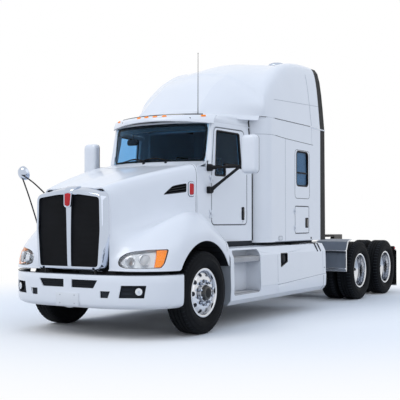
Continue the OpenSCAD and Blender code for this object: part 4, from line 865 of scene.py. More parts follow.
def opening_rounds(o, grow):
    """Points on circles at an opening's four corners."""
    corners = [(o[0], o[5]), (o[1], o[5]), (o[3], o[4]), (o[2], o[4])]
    turns = [math.tau * k / CORNER_STEPS for k in range(CORNER_STEPS)]
    r = CORNER_RADIUS + grow
    return [(x + r * math.cos(a), z + r * math.sin(a)) for x, z in corners for a in turns]


def opening_outline(o, grow):
    """Outline of a bumper opening, with round corners."""
    points = np.array(opening_rounds(o, grow))
    return dense_outline(points[hull_2d(points)], 25)


def on_bumper(side):
    """A function that turns [x, z, out] into a point on the bumper's front."""
    def place(s, t, out):
        p, n = from_front(BUMPER_TREE, side * s, t)
        return p + n * out
    return place


b = Build("bumper_skin", "chassis")
b.skin(BUMPER, 16, WHITE, BLACK)
bumper = b.done(replaces=["bumper"])
cut(bumper, [hull_object([P(side * x, BUMPER_FRONT + back, z) for x, z in opening_rounds(o, 0)
                          for back in (-60, 640)]) for o in OPENINGS for side in (1, -1)])

b = Build("bumper_opening_lips", "chassis")
for o in OPENINGS:
    for side in (1, -1):
        band(b, opening_outline(o, 0), on_bumper(side), -6, 1, -14, 1.0, WHITE)
b.done()

b = Build("bumper_step_line", "chassis")
b.tube([[*bumper_point(a, 6), 771] for a in bumper_line()], 4.5, GAP_AND_SHADE, 8)
b.done()

# Vent slats, fog lamps and the blank plate in the bumper
FOG_X, FOG_Z, FOG_RADIUS = 925, 580, 54
b = Build("bumper_vents", "chassis")
for side in (1, -1):
    def behind(s, t, out, side=side):
        return [side * s, BUMPER_FRONT - out, t]

    # Dark sheet behind the centre vent: painted shade seen through the opening
    b.slab(opening_outline(VENT, -0.6), behind, -20, -30, GAP_AND_SHADE)
    for z in (632, 657, 682):
        half = 440 - 55 * (702 - z) / 90
        b.box(side * 66, side * half, BUMPER_FRONT + 4, BUMPER_FRONT + 20, z - 4, z + 4, BLACK, 2, 2)
    # Dark sheet behind the small vent: painted shade seen through the opening
    b.slab(opening_outline(SMALL_VENT, -0.6), on_bumper(side), -22, -31, GAP_AND_SHADE)
b.done(replaces=["bumper_inserts"])

b = Build("fog_lamp_units", "chassis")
for side in (1, -1):
    b.slab(opening_outline(FOG, -0.6), on_bumper(side), -34, -44, GAP_AND_SHADE)
    p, n = from_front(BUMPER_TREE, side * FOG_X, FOG_Z)
    d = n * 0.7 + np.array([0, -0.3, 0])
    r = FOG_RADIUS
    base = p - n * 30
    b.disc_stack([[r, -6], [r, 20], [r - 3, 24], [r - 6, 22]], base, d, BLACK, 32)
    b.disc_stack([[r - 6, 16], [r - 9, 21], [r - 22, 25], [r - 44, 27], [0.3, 27.3]], base, d, LAMP, 32)
    b.disc_stack([[15, 26], [13, 32], [6, 35], [0.3, 35.4]], base, d, CHROME, 20)
    for t in (533, 580, 627):
        b.tube([on_bumper(side)(s, t, -30) for s in (745, 860)], 3.5, BLACK, 8)
b.done(replaces=["fog_lamps"])

b = Build("number_plate", "chassis")
b.box(-176, 176, BUMPER_FRONT - 5, BUMPER_FRONT + 0.4, 394, 546, PLATE, 2.5, 2)
b.box(-158, 158, BUMPER_FRONT - 6.2, BUMPER_FRONT - 4, 408, 532, PLATE, 1.0, 2)
for x in (-110, 110):
    for z in (424, 520):
        b.disc_stack([[8, 0], [8, 3], [5, 5], [0.2, 5.4]], [x, BUMPER_FRONT - 6, z], [0, -1, 0], BRUSHED,
                     16)
b.done()


# Headlamps: bowl, two reflectors, amber end and a clear domed cover
LAMP_MID = np.array([972.5, -887.3, 928.7])
LAMP_SHAPE = [(-322, -20), (-300, 38), (-228, 88), (-137, 111), (24, 128), (246, 134), (182, -31),
              (135, -82), (-158, -86), (-262, -84), (-312, -62)]


def lamp_place(side):
    """Functions for a lamp: a point from [along, rise, out], and how far out the hood's surface is."""
    out, across, rise = lamp_axes(side)
    mid = LAMP_MID * np.array([side, 1, 1])

    def plane(s, t, d):
        return mid + across * s + rise * t + out * d

    def surface(s, t):
        hit = HOOD_TREE.ray_cast(P(*plane(s, t, 600)), Vector(-out))[0]
        return (mm(hit) - mid) @ out

    return plane, surface, out


LAMP_OUTLINE, LAMP_CENTRE = soft_outline(LAMP_SHAPE, 26, 5), np.array([-30.0, 20.0])
cut(hood, [hull_object([P(*lamp_place(side)[0](s, t, d)) for s, t in LAMP_OUTLINE for d in (-330, 220)])
           for side in (1, -1)])

for name, side in SIDES:
    plane, surface, out = lamp_place(side)
    flat = dense_outline(LAMP_OUTLINE, 20)
    ring = np.array([[s, t, surface(s, t)] for s, t in flat])

    def shrunk(*rows, ring=ring, plane=plane, surface=surface):
        """Rings shrunk to a share of the lamp's outline, at a height above the hood, with a dome's rise."""
        rings = []
        for f, depth, dome in rows:
            points = []
            for p in ring:
                s, t = LAMP_CENTRE + (p[:2] - LAMP_CENTRE) * f
                d = p[2] + (surface(s, t) - p[2]) * min(1.0, (1 - f) * 3)
                points.append(plane(s, t, d + depth + dome * (1 - f * f)))
            rings.append(points)
        return rings

    b = Build("headlamp_" + name, "hood")
    b.loft(shrunk((1.0, -4, 0), (0.985, -56, 0), (0.9, -62, 0), (0.6, -66, 0), (0.3, -68, 0),
                  (0.05, -68, 0)), LAMP, caps=False)
    b.loft(shrunk((1.0, -16, 0), (1.0, -0.5, 0), (0.985, 1.0, 0), (0.955, 0, 0), (0.955, -16, 0)), GLOSS,
           caps=False)
    for s, t, radius in ((-40, 12, 66), (-196, -8, 52)):
        base = plane(s, t, surface(s, t) - 58)
        b.disc_stack([[radius, 40], [radius - 3, 43], [radius - 7, 40], [radius - 16, 18], [radius - 36, 6],
                      [4, 2]], base, out, LAMP, 36)
        b.disc_stack([[radius, 0], [radius, 40]], base, out, LAMP, 36)
        b.disc_stack([[9, 6], [9, 24], [6, 30], [0.3, 31]], base, out, BRUSHED, 16)
    amber = dense_outline(soft_outline([(62, -72), (104, 118), (226, 122), (168, -30), (128, -72)], 12, 4),
                          24)
    b.loft([[plane(s, t, surface(s, t) + d) for s, t in amber] for d in (-44, -13)], AMBER)
    b.done(replaces=["headlamps"] if side > 0 else ())
    b = Build("headlamp_cover_" + name, "hood")
    b.loft(shrunk((0.955, -7, 0), (0.955, -3.5, 0), (0.8, -2.5, 3), (0.55, -2.5, 4), (0.3, -2.5, 4.5),
                  (0.05, -2.5, 4.5)), CLEAR)
    b.done(angle=50)

# Hood details: arch liners, rolled edges, louvres, side reflectors
LOUVRE = [(-205, 1712), (-190, 1728), (-60, 1824), (40, 1846), (178, 1866), (172, 1754)]
LOUVRE_OUTLINE = soft_outline(LOUVRE, 22)
cut(hood, [hull_object([P(*on_hood(side)(s, t, out)) for s, t in LOUVRE_OUTLINE for out in (60, -60)])
           for side in (1, -1)])

b = Build("hood_louvres", "hood")
for side in (1, -1):
    place = on_hood(side)
    outline = dense_outline(LOUVRE_OUTLINE, 25)
    b.slab(outline, place, -34, -40, GAP_AND_SHADE)
    band(b, outline, place, -9, 1, -36, 2.0, BLACK)
    for k in range(3):
        f = (k + 0.75) / 3.4
        rear = np.array([170, 1754 + 112 * f])
        front = np.array([-190 + 130 * f, 1714 + 110 * f])
        rings = []
        for g in np.linspace(0, 1, 13):
            s, t = front + (rear - front) * g
            rings.append([place(s, t + up, out) for up, out in ((15, -25), (7, -19), (-11, 0.5), (-16, -1),
                                                                (-10, -8), (8, -26))])
        b.loft(rings, GLOSS)
b.done()

b = Build("hood_side_reflectors", "hood")
BADGE = dense_outline(rounded_outline(203, 325, 1700, 1889, 44), 16)
for side in (1, -1):
    place = on_hood(side)
    band(b, BADGE, place, -22, 0, -2, 9.0, CHROME)
    band(b, BADGE, place, 0, 5, -2, 1.5, GAP_AND_SHADE)
    band(b, BADGE, place, -27, -22, -2, 3.0, GAP_AND_SHADE)
    mid = np.mean(BADGE, axis=0)
    shape = [(p - mid) * np.array([0.64, 0.78]) for p in BADGE]
    b.loft([[place(*(mid + p * f), lift) for p in shape]
            for f, lift in ((1.0, 1.0), (1.0, 4.0), (0.92, 6.5), (0.6, 8.0), (0.2, 8.4), (0.02, 8.4))], RED)
    for t in (1722, 1867):
        p, n = from_side(HOOD_TREE, 264, t, side)
        b.disc_stack([[6, 6], [6, 10], [3, 12], [0.1, 12.2]], p, n, BRUSHED, 12)
b.done()

b = Build("hood_arch_liners", "hood")
LINER_FROM, LINER_TO = 28.2, 151.8


def liner_point(side, x, radius, share):
    """A point on the round liner over a front wheel."""
    a = math.radians(LINER_FROM + (LINER_TO - LINER_FROM) * share)
    return [side * x, -radius * math.cos(a), AXLE_Z + radius * math.sin(a)]


for side in (1, -1):
    section = ((866, 633), (1190, 633), (1204, 637), (1204, 645), (866, 645))
    b.loft([[liner_point(side, x, radius, k / 48) for x, radius in section] for k in range(49)], BLACK)
    for k in range(1, 12):
        b.tube([liner_point(side, x, 631.5, k / 12) for x in (880, 1180)], 3.0, BLACK, 6)
b.done()

b = Build("hood_rolled_edges", "hood")
for column, s in ((0, 1), (-1, -1)):
    b.tube([row[column] + np.array([-s * 7, 0, 3]) for row in HOOD], 7.5, WHITE, 10)
b.tube([[p[0] * 0.995, p[1] - 4, p[2] - 5] for p in HOOD[-1]], 5.5, WHITE, 8)
b.done()

# Panel line just ahead of the hood's rear edge
b = Build("hood_rear_seam", "hood")
row = HOOD[-4][4:-4]
normals = []
for p in row:
    n = np.array(HOOD_TREE.find_nearest(P(*p))[1])
    normals.append(n if n @ [p[0], 0, max(p[2] - 900, 1)] > 0 else -n)
ribbon(b, row, normals, 5, GAP_AND_SHADE, 0.7, 2)
b.done()


# Grille: bright surround, dark mesh, tapered bar that widens to a cap, and a plain plaque
GRILLE_FRONT = -1155.0


def grille_outline(grow, radius):
    half = [(440 + grow, 858 - grow), (472 + grow, 1283), (462 + grow, 1662 + 1.1 * grow),
            (160, 1700 + 1.5 * grow)]
    whole = half + [(-x, z) for x, z in half[::-1]]
    return soft_outline(whole, radius, 8)


b = Build("grille_bezel", "hood")
rows = [(0, 60, 40), (0, 30, 40), (0, 8, 40), (3, 2.5, 44), (10, 0.5, 52), (20, 0.5, 60), (27, 2.5, 66),
        (33, 9, 72), (39, 24, 76), (46, 50, 82), (53, 80, 86), (58, 104, 90), (60, 117.5, 90),
        (48, 117.5, 86), (12, 117.5, 50), (4, 90, 42)]
rings = [[[x, GRILLE_FRONT + depth, z] for x, z in grille_outline(grow, radius)]
         for grow, depth, radius in rows]
rings.append(rings[0])
b.loft(rings, CHROME, caps=False)
bezel = b.done(angle=50, replaces=["grille_surround"])
cut(bezel, [hull_object([P(side * x, back, z) for x in (366, 402) for back in (-1180, -1094)
                         for z in (760, 850)]) for side in (1, -1)])

b = Build("grille_mesh", "hood")
# Dark sheet just behind the mesh: painted shade of the space behind the grille
b.slab(grille_outline(-1, 40), lambda x, z, out: [x, GRILLE_FRONT - out, z], -58, -62, GAP_AND_SHADE)
half_at = [(858, 440), (1283, 472), (1662, 462), (1700, 160)]


def grille_half_width(z):
    """Half-width of the grille's opening at a height."""
    for (z0, w0), (z1, w1) in zip(half_at, half_at[1:]):
        if z <= z1:
            return w0 + (w1 - w0) * (z - z0) / (z1 - z0)
    return 0.0


for z in np.arange(868, 1694, 14.0):
    w = grille_half_width(z) - 6
    if w > 60:
        b.box(-w, w, GRILLE_FRONT + 36, GRILLE_FRONT + 41, z - 2.6, z + 2.6, BLACK)
for x in np.arange(-462, 463, 14.0):
    top = 1662 if abs(x) > 440 else 1664 + 36 * min(1.0, (462 - abs(x)) / 302)
    b.box(x - 2.4, x + 2.4, GRILLE_FRONT + 40, GRILLE_FRONT + 45, 866, top - 8, BLACK)
b.done(replaces=["grilles"])

b = Build("grille_bar", "hood")
rings = []
for z, half, front in ((852, 29, 12), (960, 30, 6), (1200, 33, 0), (1450, 38, -3), (1600, 45, -5),
                       (1690, 56, -5), (1745, 72, 2), (1778, 84, 26), (1797, 88, 62), (1806, 88, 100),
                       (1806, 88, 117)):
    droop = 0.35 if z > 1745 else 0
    section = ((-1, 34), (-1, 12), (-0.86, 3), (-0.5, -1), (0, -2.5), (0.5, -1), (0.86, 3), (1, 12),
               (1, 34))
    rings.append([[half * s, GRILLE_FRONT + front + depth + 3, z - depth * droop] for s, depth in section])
b.loft(spline_rows(rings, 4), CHROME)
b.done(angle=50)

b = Build("grille_plaque", "hood")


def plaque(s, t, out):
    """A point over the grille's bar, whose face leans back."""
    return [s, GRILLE_FRONT - 7 - out + 0.06 * (t - 1640), t]


PLAQUE = soft_outline([(-52, 1562), (0, 1540), (52, 1562), (62, 1728), (0, 1742), (-62, 1728)], 26)
outline = dense_outline(PLAQUE, 14)
b.slab(outline, plaque, -16, 2, CHROME)
band(b, outline, plaque, -13, 0, 0, 8, CHROME)
mid = np.mean(np.array(outline), axis=0)
b.loft([[plaque(*(mid + (np.array(p) - mid) * f), lift) for p in outline]
        for f, lift in ((0.8, 1.0), (0.8, 4.0), (0.74, 5.5), (0.4, 7.0), (0.02, 7.4))], RED)
b.done()

# Bright look-down mirror on two dark legs at the right of the hood
b = Build("hood_mirror_set", "hood")
head = np.array([-1135, -710, 2010.0])
toward = unit([0.15, 0.93, 0.33])
b.disc_stack([[20, -62], [56, -54], [78, -38], [91, -14], [95, 8], [94, 14], [90, 16], [88, 12]], head,
             toward, CHROME, 40)
b.disc_stack([[89, 8], [87, 11], [60, 19], [30, 22], [0.2, 23]], head, toward, MIRROR, 40)
for foot in ([-1005, -580, 1311.4], [-549.2, -880, 1680.0]):
    f = np.array(foot)
    d = head - toward * 50 - f
    bow = ((0, 0), (0.25, 16), (0.55, 26), (0.85, 14), (1, 0))
    b.tube(spline_rows([f + d * share + np.array([0, 0, up]) for share, up in bow], 6), 9, STEEL_BLACK, 14)
    near, n, _, _ = HOOD_TREE.find_nearest(P(*f))
    n = np.array(n if n.z > 0 else -n)
    b.disc_stack([[30, -6], [30, 2], [25, 7], [14, 12], [10, 20]], mm(near), n, BLACK, 28)
b.done(replaces=["hood_mirror"])

# Doors: dark edge lines, window gaskets, handles and linings, which ride on the door
DOOR_LENGTH, DOOR_RAKE, DOOR_BOTTOM, DOOR_TOP = 826.0, 126.0, 1334.0, 2650.0
DOOR_OUTLINE = soft_outline([(0, DOOR_BOTTOM), (DOOR_LENGTH, DOOR_BOTTOM), (DOOR_LENGTH, DOOR_TOP),
                             (DOOR_RAKE, DOOR_TOP), (0, BELT)], 70)
DOOR_LINING = [(30, 1370), (790, 1370), (790, 2120), (340, 2120), (330, 1960), (70, 1960), (30, 1900)]
DOOR_WINDOW = soft_outline([(72, 1990), (322, 1990), (330, 2150), (708, 2150), (708, 2602), (176, 2610)],
                           34)
for name, side in SIDES:
    def on_door(s, t, out, side=side):
        return cab_side(s, t, out, side)

    b = Build("door_trim_" + name, "door_" + name)
    outline = dense_outline(DOOR_OUTLINE, 60)
    band(b, outline, on_door, -11, -0.5, -6, 0.7, GAP_AND_SHADE)
    outline = dense_outline(DOOR_WINDOW, 50)
    band(b, outline, on_door, -20, 12, -30, 3.0, BLACK)
    handle = dense_outline(rounded_outline(694, 758, 1398, 1580, 16), 30)
    b.slab(handle, on_door, -4, 2.5, GAP_AND_SHADE)
    band(b, handle, on_door, -7, 0, -2, 6, BLACK)
    rings = []
    for f, lift in ((0.0, 4), (0.08, 15), (0.5, 19), (0.92, 15), (1.0, 4)):
        z = 1420 + 138 * f
        section = ((712, -3), (714, 3), (726, 5), (738, 3), (740, -3), (726, -5))
        rings.append([on_door(y, z, lift + dz) for y, dz in section])
    b.loft(spline_rows(rings, 5), GLOSS)
    b.disc_stack([[11, 0], [11, 4], [8, 6], [0.2, 6.3]], on_door(726, 1376, 0), [side, 0, 0], BRUSHED, 18)
    b.done()

    b = Build("door_inner_" + name, "door_" + name)
    inner = dense_outline(soft_outline(DOOR_LINING, 40), 60)
    b.slab(inner, on_door, -56, -66, TRIM)
    rest = []
    for f, wide in ((0.0, 30), (0.05, 44), (0.5, 50), (0.95, 44), (1.0, 30)):
        y = 230 + 420 * f
        section = ((-26, 0), (-22, 0.8), (0, 1.0), (18, 0.9), (24, 0))
        rest.append([on_door(y, 1770 + dz, -66 - wide * k) for dz, k in section])
    b.loft(rest, TRIM)
    b.done()


# Cab: windscreen frame, dark band inside the top of the glass (part tinted strip, part painted shadow of
# the visor), pillars, wipers and seals
SCREEN_LOW, SCREEN_HIGH, SCREEN_BOW, SCREEN_LEAN = 2186.0, 2690.0, 200.0, 78.0


def screen(s, z, out=0.0):
    """A point on the bowed windscreen from x and height, with a distance out from the glass."""
    f = (z - SCREEN_LOW) / (SCREEN_HIGH - SCREEN_LOW)
    half = 757 + 5 * f
    u = s / half
    n = unit([2 * SCREEN_BOW * u / half, -1.0, SCREEN_LEAN / (SCREEN_HIGH - SCREEN_LOW)])
    return np.array([s, 722 + SCREEN_LEAN * f - SCREEN_BOW * (1 - u * u), z]) + n * out


b = Build("windscreen_frame", "chassis")
outline = dense_outline(rounded_outline(-752, 752, 2190, 2688, 74, 8), 40)
band(b, outline, screen, -22, 4, -4, 5, BLACK)
b.done()
# Dark band just inside the top of the windscreen: partly a tinted strip and partly painted shadow of the
# visor and headliner
b = Build("windscreen_band_and_visor_shadow", "chassis")
b.skin([[screen(s, z, -12) for s in np.linspace(740, -740, 33)] for z in np.linspace(2596, 2686, 6)], 2,
       GLOSS)
b.done()
b = Build("screen_pillar_fill", "chassis")
for side in (1, -1):
    rings = []
    for z in np.linspace(2188, 2712, 9):
        inner = screen(side * 742, min(z, SCREEN_HIGH), 1.0)
        y = DOOR_RAKE * max(0.0, min(1.0, (z - BELT) / (DOOR_TOP - BELT)))
        outer = cab_side(y - 10, z, -1.5, side)
        mid = (inner + outer) / 2 + np.array([side * 6, -8, 0])
        rings.append([inner, mid, outer, outer + np.array([-side * 16, 10, 0]),
                      inner + np.array([0, 16, 0])])
    b.loft(rings, WHITE)
b.done()

b = Build("wipers", "chassis")
for pivot, tip in ((-95, -520), (250, -150)):
    hub = screen(pivot, 2192, 16) + np.array([0, -14, -22])
    b.disc_stack([[20, 0], [20, 16], [12, 26], [0.2, 28]], hub + np.array([0, 12, -10]), [0, -0.8, 0.6],
                 BLACK, 18)
    reach = tip - pivot
    arm = [screen(pivot + reach * f, 2198 + 34 * math.sin(math.pi * 1.15 * f), 20)
           for f in np.linspace(0, 0.72, 10)]
    b.tube([hub] + arm, 8, BLACK, 8)
    blade = [screen(pivot + reach * f, 2206 + 20 * math.sin(math.pi * f), 9)
             for f in np.linspace(0.05, 1.15, 16)]
    b.tube(blade, 6.5, BLACK, 6)
b.done()

b = Build("cab_seals", "chassis")
for side in (1, -1):
    rings = []
    for z in np.linspace(1112, 2700, 14):
        x = cab_side(958, z, 0, side)[0]
        section = ((-34, 1656), (2.5, 1656), (2.5, 1683), (-34, 1683))
        rings.append([[x + side * out, back, z] for out, back in section])
    b.loft(rings, BLACK)
b.tube([p + np.array([0, 1, -2]) for p in CAB_ROOF[-1]], 11, BLACK, 10)
b.done()

# Dark boxes beneath the cab and the sleeper that close the view there: painted shade of the underside
b = Build("cab_underside_shade", "chassis")
for side in (1, -1):
    b.box(side * 700, side * 930, 600, 1700, 1000, 1108, GAP_AND_SHADE, 8, 2)
    b.box(side * 700, side * 976, 1700, 3655, 985, 1079, GAP_AND_SHADE, 8, 2)
b.box(-700, 700, 640, 3655, 1040, 1079, GAP_AND_SHADE, 4, 2)
b.done()

# Interior mirror
b = Build("cab_mirror", "chassis")
shape = rounded_outline(-90, 90, -42, 42, 34)
b.loft([[[-420 + s * f, 690 + d, 2484 + t * f] for s, t in shape]
        for f, d in ((0.7, -22), (0.94, -14), (1.0, 0), (1.0, 10), (0.95, 13))], BLACK)
b.tube([[-420, 690, 2500], [-420, 700, 2590], [-410, 720, 2680]], 9, BLACK, 10)
b.done()

# Door mirrors: arms with bosses on the cowl, white shells, mirror glass
COWL_REAR, COWL_FRONT = np.array([850.0, 709.0, 0.0]), np.array([830.0, 396.0, 0.0])
MIRROR_AT, MIRROR_X, MIRROR_LOW, MIRROR_HIGH, MIRROR_HALF = 900.0, 1330.0, 2010.0, 2521.0, 115.0
along = unit(COWL_REAR - COWL_FRONT)
normal = np.array([along[1], -along[0], 0.0])
b = Build("mirror_arm_set", "chassis")
for side in (1, -1):
    for z in (1795, 2090):
        rings = []
        for out, grow in ((0.5, 0), (30, 0), (44, -6), (52, -16)):
            ring = []
            for s, t in rounded_outline(-104, -14, -46 - grow, 46 + grow, 16):
                x, back, _ = COWL_REAR + along * s + normal * out
                ring.append([side * x, back, z + t])
            rings.append(ring)
        b.loft(rings, BLACK)
    pad = MIRROR_X - MIRROR_HALF
    for start, stop, radius in (((878, 657, 2090), (pad - 14, 892, 2110), 20),
                                ((878, 657, 1795), (pad - 32, 878, 2098), 19)):
        p, q = [np.array([side * x, back, z]) for x, back, z in (start, stop)]
        shares = np.linspace(0, 1, 10)
        radii = [radius * (1.5 - 1.6 * f if f < 0.3 else 1.02) for f in shares]
        b.tube([p + (q - p) * f for f in shares], radius, BLACK, 16, radii)
    b.box(side * (pad - 26), side * (pad + 0.4), 872, 916, 2070, 2144, BLACK, 8)
b.done(replaces=["mirror_arms"])

MIRROR_TALL, MIRROR_MID = (MIRROR_HIGH - MIRROR_LOW) / 2, (MIRROR_HIGH + MIRROR_LOW) / 2
MIRROR_OUTLINE = rounded_outline(-MIRROR_HALF, MIRROR_HALF, -MIRROR_TALL, MIRROR_TALL, 58, 8)


# Rows: shares of the outline's width and height, and the depth
MIRROR_SHELL = [(1.0, 1.0, 34), (1.0, 1.0, 10), (0.985, 0.993, -14), (0.95, 0.975, -32), (0.87, 0.935, -46),
                (0.72, 0.86, -55), (0.45, 0.70, -60), (0.15, 0.45, -61.5)]
MIRROR_RIM = [(1.0, 1.0, 34), (0.995, 0.998, 46), (0.97, 0.988, 50), (0.92, 0.965, 50), (0.92, 0.965, 42)]
MIRROR_GLASS = [(0.92, 0.965, 42), (0.5, 0.6, 42.5), (0.05, 0.05, 42.5)]


def mirror_rings(side, rows):
    """Rings of a mirror's outline, shrunk in width and height and set back by a depth."""
    return [[[side * MIRROR_X + s * f, MIRROR_AT + depth, MIRROR_MID + t * g] for s, t in MIRROR_OUTLINE]
            for f, g, depth in rows]


for name, side in SIDES:
    b = Build("mirror_shell_" + name, "chassis")
    b.loft(mirror_rings(side, MIRROR_SHELL), WHITE)
    b.loft(mirror_rings(side, MIRROR_RIM), BLACK, caps=False)
    b.loft(mirror_rings(side, MIRROR_GLASS), MIRROR)
    b.done(angle=50, replaces=["mirror_heads"] if side > 0 else ())


# Sleeper sides: panel lines, window, hatch outline, luggage door trim
SLEEPER_HALF = 1120.0


def wall(side):
    """A function that turns [back, z, out] into a point on the sleeper's side."""
    def place(s, t, out):
        return [side * (SLEEPER_HALF + out), s, t]
    return place


def flat_line(b, points, side, width, mat):
    """A line on the sleeper's flat side."""
    ribbon(b, [wall(side)(s, t, 0) for s, t in points], [[side, 0, 0]] * len(points), width, mat, 0.8, 1.5)


# Grey for panel lines, and for one line of painted shade on the side fairings
GREY_LINE = material("panel_line_and_shade", (0.34, 0.37, 0.42), 0.55, vary=0.08, rough_vary=0.08)
b = Build("sleeper_panel_lines", "chassis")
for side in (1, -1):
    flat_line(b, [(2062, 2624), (2200, 2616), (2388, 2606), (2900, 2594), (3379, 2583)], side, 7, GAP_AND_SHADE)
    flat_line(b, [(2388, 2606), (2390, 1800), (2392, 1082)], side, 6, GREY_LINE)
    flat_line(b, [(3324, 2866), (3332, 2700), (3340, 2584)], side, 5, GREY_LINE)
    corner, normals = [], []
    for k in range(3, 11):
        a = math.radians(9 * k)
        corner.append([side * (840 + 280 * math.sin(a)), 1960 - 280 * math.cos(a), 2618 + 0.6 * k])
        normals.append([side * math.sin(a), -math.cos(a), 0])
    corner.append([side * SLEEPER_HALF, 2062, 2624])
    normals.append([side, 0, 0])
    ribbon(b, corner, normals, 6, GREY_LINE, 0.8, 1.5)
b.done()

b = Build("sleeper_side_window_trim", "chassis")
for side in (1, -1):
    place = wall(side)
    hatch = dense_outline(rounded_outline(2708, 3246, 1726, 2472, 70, 8), 60)
    band(b, hatch, place, -7, 0, -1, 1.0, GAP_AND_SHADE)
    window = dense_outline(rounded_outline(2770, 3190, 1920, 2450, 60, 8), 60)
    band(b, window, place, -16, 14, -38, 4, BLACK)
    b.box(side * (SLEEPER_HALF - 20), side * (SLEEPER_HALF - 6), 2780, 3180, 2112, 2134, BLACK, 3)
    b.box(side * (SLEEPER_HALF - 36), side * (SLEEPER_HALF - 30), 2772, 3188, 1922, 2448, GREY_PAINT_AND_REFLECTION)
b.done()

for name, side in SIDES:
    b = Build("luggage_trim_" + name, "luggage_door_" + name)
    place = wall(side)
    edge = dense_outline(rounded_outline(2714, 3222, 1196, 1610, 30, 8), 60)
    band(b, edge, place, -9, -0.5, -3, 0.8, GAP_AND_SHADE)
    handle = dense_outline(rounded_outline(3086, 3190, 1278, 1434, 16, 6), 40)
    b.slab(handle, place, -2, 2.5, GAP_AND_SHADE)
    band(b, handle, place, -10, 0, -2, 6, BLACK)
    b.box(side * (SLEEPER_HALF + 2), side * (SLEEPER_HALF + 12), 3112, 3164, 1296, 1416, GLOSS, 5)
    b.done()

b = Build("sleeper_small_parts", "chassis")
for side in (1, -1):
    place = wall(side)
    square = dense_outline(rounded_outline(2162, 2276, 1102, 1166, 8, 4), 40)
    b.slab(square, place, -2, 3, PLATE)
    band(b, square, place, -7, 0, -2, 5, GREY_LINE)
    b.disc_stack([[17, 0], [17, 4], [13, 7], [0.2, 8]], place(3298, 1118, 0), [side, 0, 0], BLACK, 20)
    b.box(side * (SLEEPER_HALF - 10), side * (SLEEPER_HALF + 2.5), 2040, 3378, 1080, 1090, GREY_LINE, 2)
b.done()

# Roof: skirt round its base, panel lines, bright strips, dome and antenna
CAB_TREE = grid_tree(CAB_ROOF)
b = Build("roof_base_skirt", "chassis")
loop = np.concatenate([ROOF[:0:-1, 0], ROOF[0], ROOF[1:, -1]])
rings = []
for i, p in enumerate(loop):
    d = loop[min(i + 1, len(loop) - 1)] - loop[max(i - 1, 0)]
    out = unit([-d[1], d[0], 0])
    if out @ (p - np.array([0, 2400, p[2]])) < 0:
        out = -out
    reach = 6.0 if p[1] > 1690 else 34.0
    foot = p + out * reach
    hit = CAB_TREE.ray_cast(P(foot[0], foot[1], 6000), Vector((0, 0, -1)))[0]
    foot[2] = 2866.0 if p[1] > 1690 else (2806.0 if hit is None else hit.z * 1000 - 3)
    up = np.array([0, 0, 1.0])
    rings.append([p - out * 2 + up * 2, p + out * 4 - up * 6, foot, foot - out * 20 - up * 6,
                  p - out * 20 - up * 4])
b.loft(rings, WHITE)
b.done()

b = Build("roof_seams", "chassis")
for column, side in ((0, 1), (-1, -1)):
    pts = [row[column] for row in ROOF if 1700 < row[column][1] < 3330]
    line = [[side * (SLEEPER_HALF if p[1] > 2050 else abs(p[0]) + 1), p[1], SLEEPER_TOP] for p in pts]
    ribbon(b, line, [[side, 0, 0]] * len(line), 10, GAP_AND_SHADE, 1.5, 6)


def roof_line(b, places, side, width):
    """A grey line on the roof fairing's side through places [back, z]."""
    pts, normals = zip(*[from_side(ROOF_TREE, back, z, side) for back, z in places])
    ribbon(b, pts, normals, width, GREY_LINE, 2.0, 4)


for side in (1, -1):
    roof_line(b, [(3330 - 0.05 * (z - 2880), z) for z in np.linspace(2884, 3690, 24)], side, 6)
    roof_line(b, [(back, 3150 + 0.05 * (back - 2080)) for back in np.linspace(2080, 3640, 40)], side, 5)
b.done()

b = Build("bright_roof_line", "chassis")
for side in (1, -1):
    b.box(side * (SLEEPER_HALF - 6), side * (SLEEPER_HALF + 3), 3300, 3664, 2842, 2866, CHROME, 3)
    b.box(side * (SLEEPER_HALF - 6), side * (SLEEPER_HALF + 3), 3664, 3850, 2844, 2864, PLATE, 3)
b.done()

b = Build("roof_fittings_set", "chassis")
DOME = material("dome_silver", (0.50, 0.56, 0.66), 0.3, metal=0.4, vary=0.06, rough_vary=0.08, coat=0.3)
p = np.array([430.0, 3480.0, 3907.0])
b.disc_stack([[150, -60], [150, 4], [144, 22], [124, 42], [96, 55], [60, 62], [20, 64.8], [0.3, 65]], p,
             [0, 0, 1], DOME, 48)
b.disc_stack([[156, -60], [156, -6], [150, 0], [146, 1]], p, [0, 0, 1], GREY_PAINT_AND_REFLECTION, 48)
p, n = from_top(CAB_TREE, 595, 790)
b.disc_stack([[16, -12], [16, 2], [12, 7], [8, 10]], p, n, BLACK, 20)
b.disc_stack([[9, 0], [8, 30], [6, 34], [5, 120]], p, [0, 0, 1], BLACK, 14)
b.tube([p + np.array([0, 0, 100]), p + np.array([0, 2, 480]), np.array([p[0], p[1] + 4, 3655])], 5, BLACK,
       8, [5, 4, 3])
b.disc_stack([[5, 0], [5, 12], [0.2, 15]], np.array([p[0], p[1] + 4, 3640.0]), [0, 0, 1], BLACK, 12)
b.done(replaces=["roof_fittings"])

# Upper part of the rear wall, which closes the back of the roof fairing
BACK_WALL = (3346.0, 3396.0)
row = min(ROOF, key=lambda r: abs(r[0][1] - BACK_WALL[0]))
edge = [np.array([p[0] * 0.987, 0, p[2] - 15]) for p in row]
edge = [np.array([edge[0][0], 0, 2840.0])] + edge + [np.array([edge[-1][0], 0, 2840.0])]
b = Build("sleeper_back_upper", "chassis")
b.loft([[p + np.array([0, back, 0]) for p in edge] for back in BACK_WALL], WHITE)
for z in (3080, 3320, 3560):
    b.box(-900 + (z - 3080) * 0.4, 900 - (z - 3080) * 0.4, 3394, 3402, z - 14, z + 14, WHITE, 4)
b.done()

# Side fairings: bright steps, dark filler pocket, lower skirt, seams, a grey line of painted shade and
# straps
FAIR_FRONT = 640.0


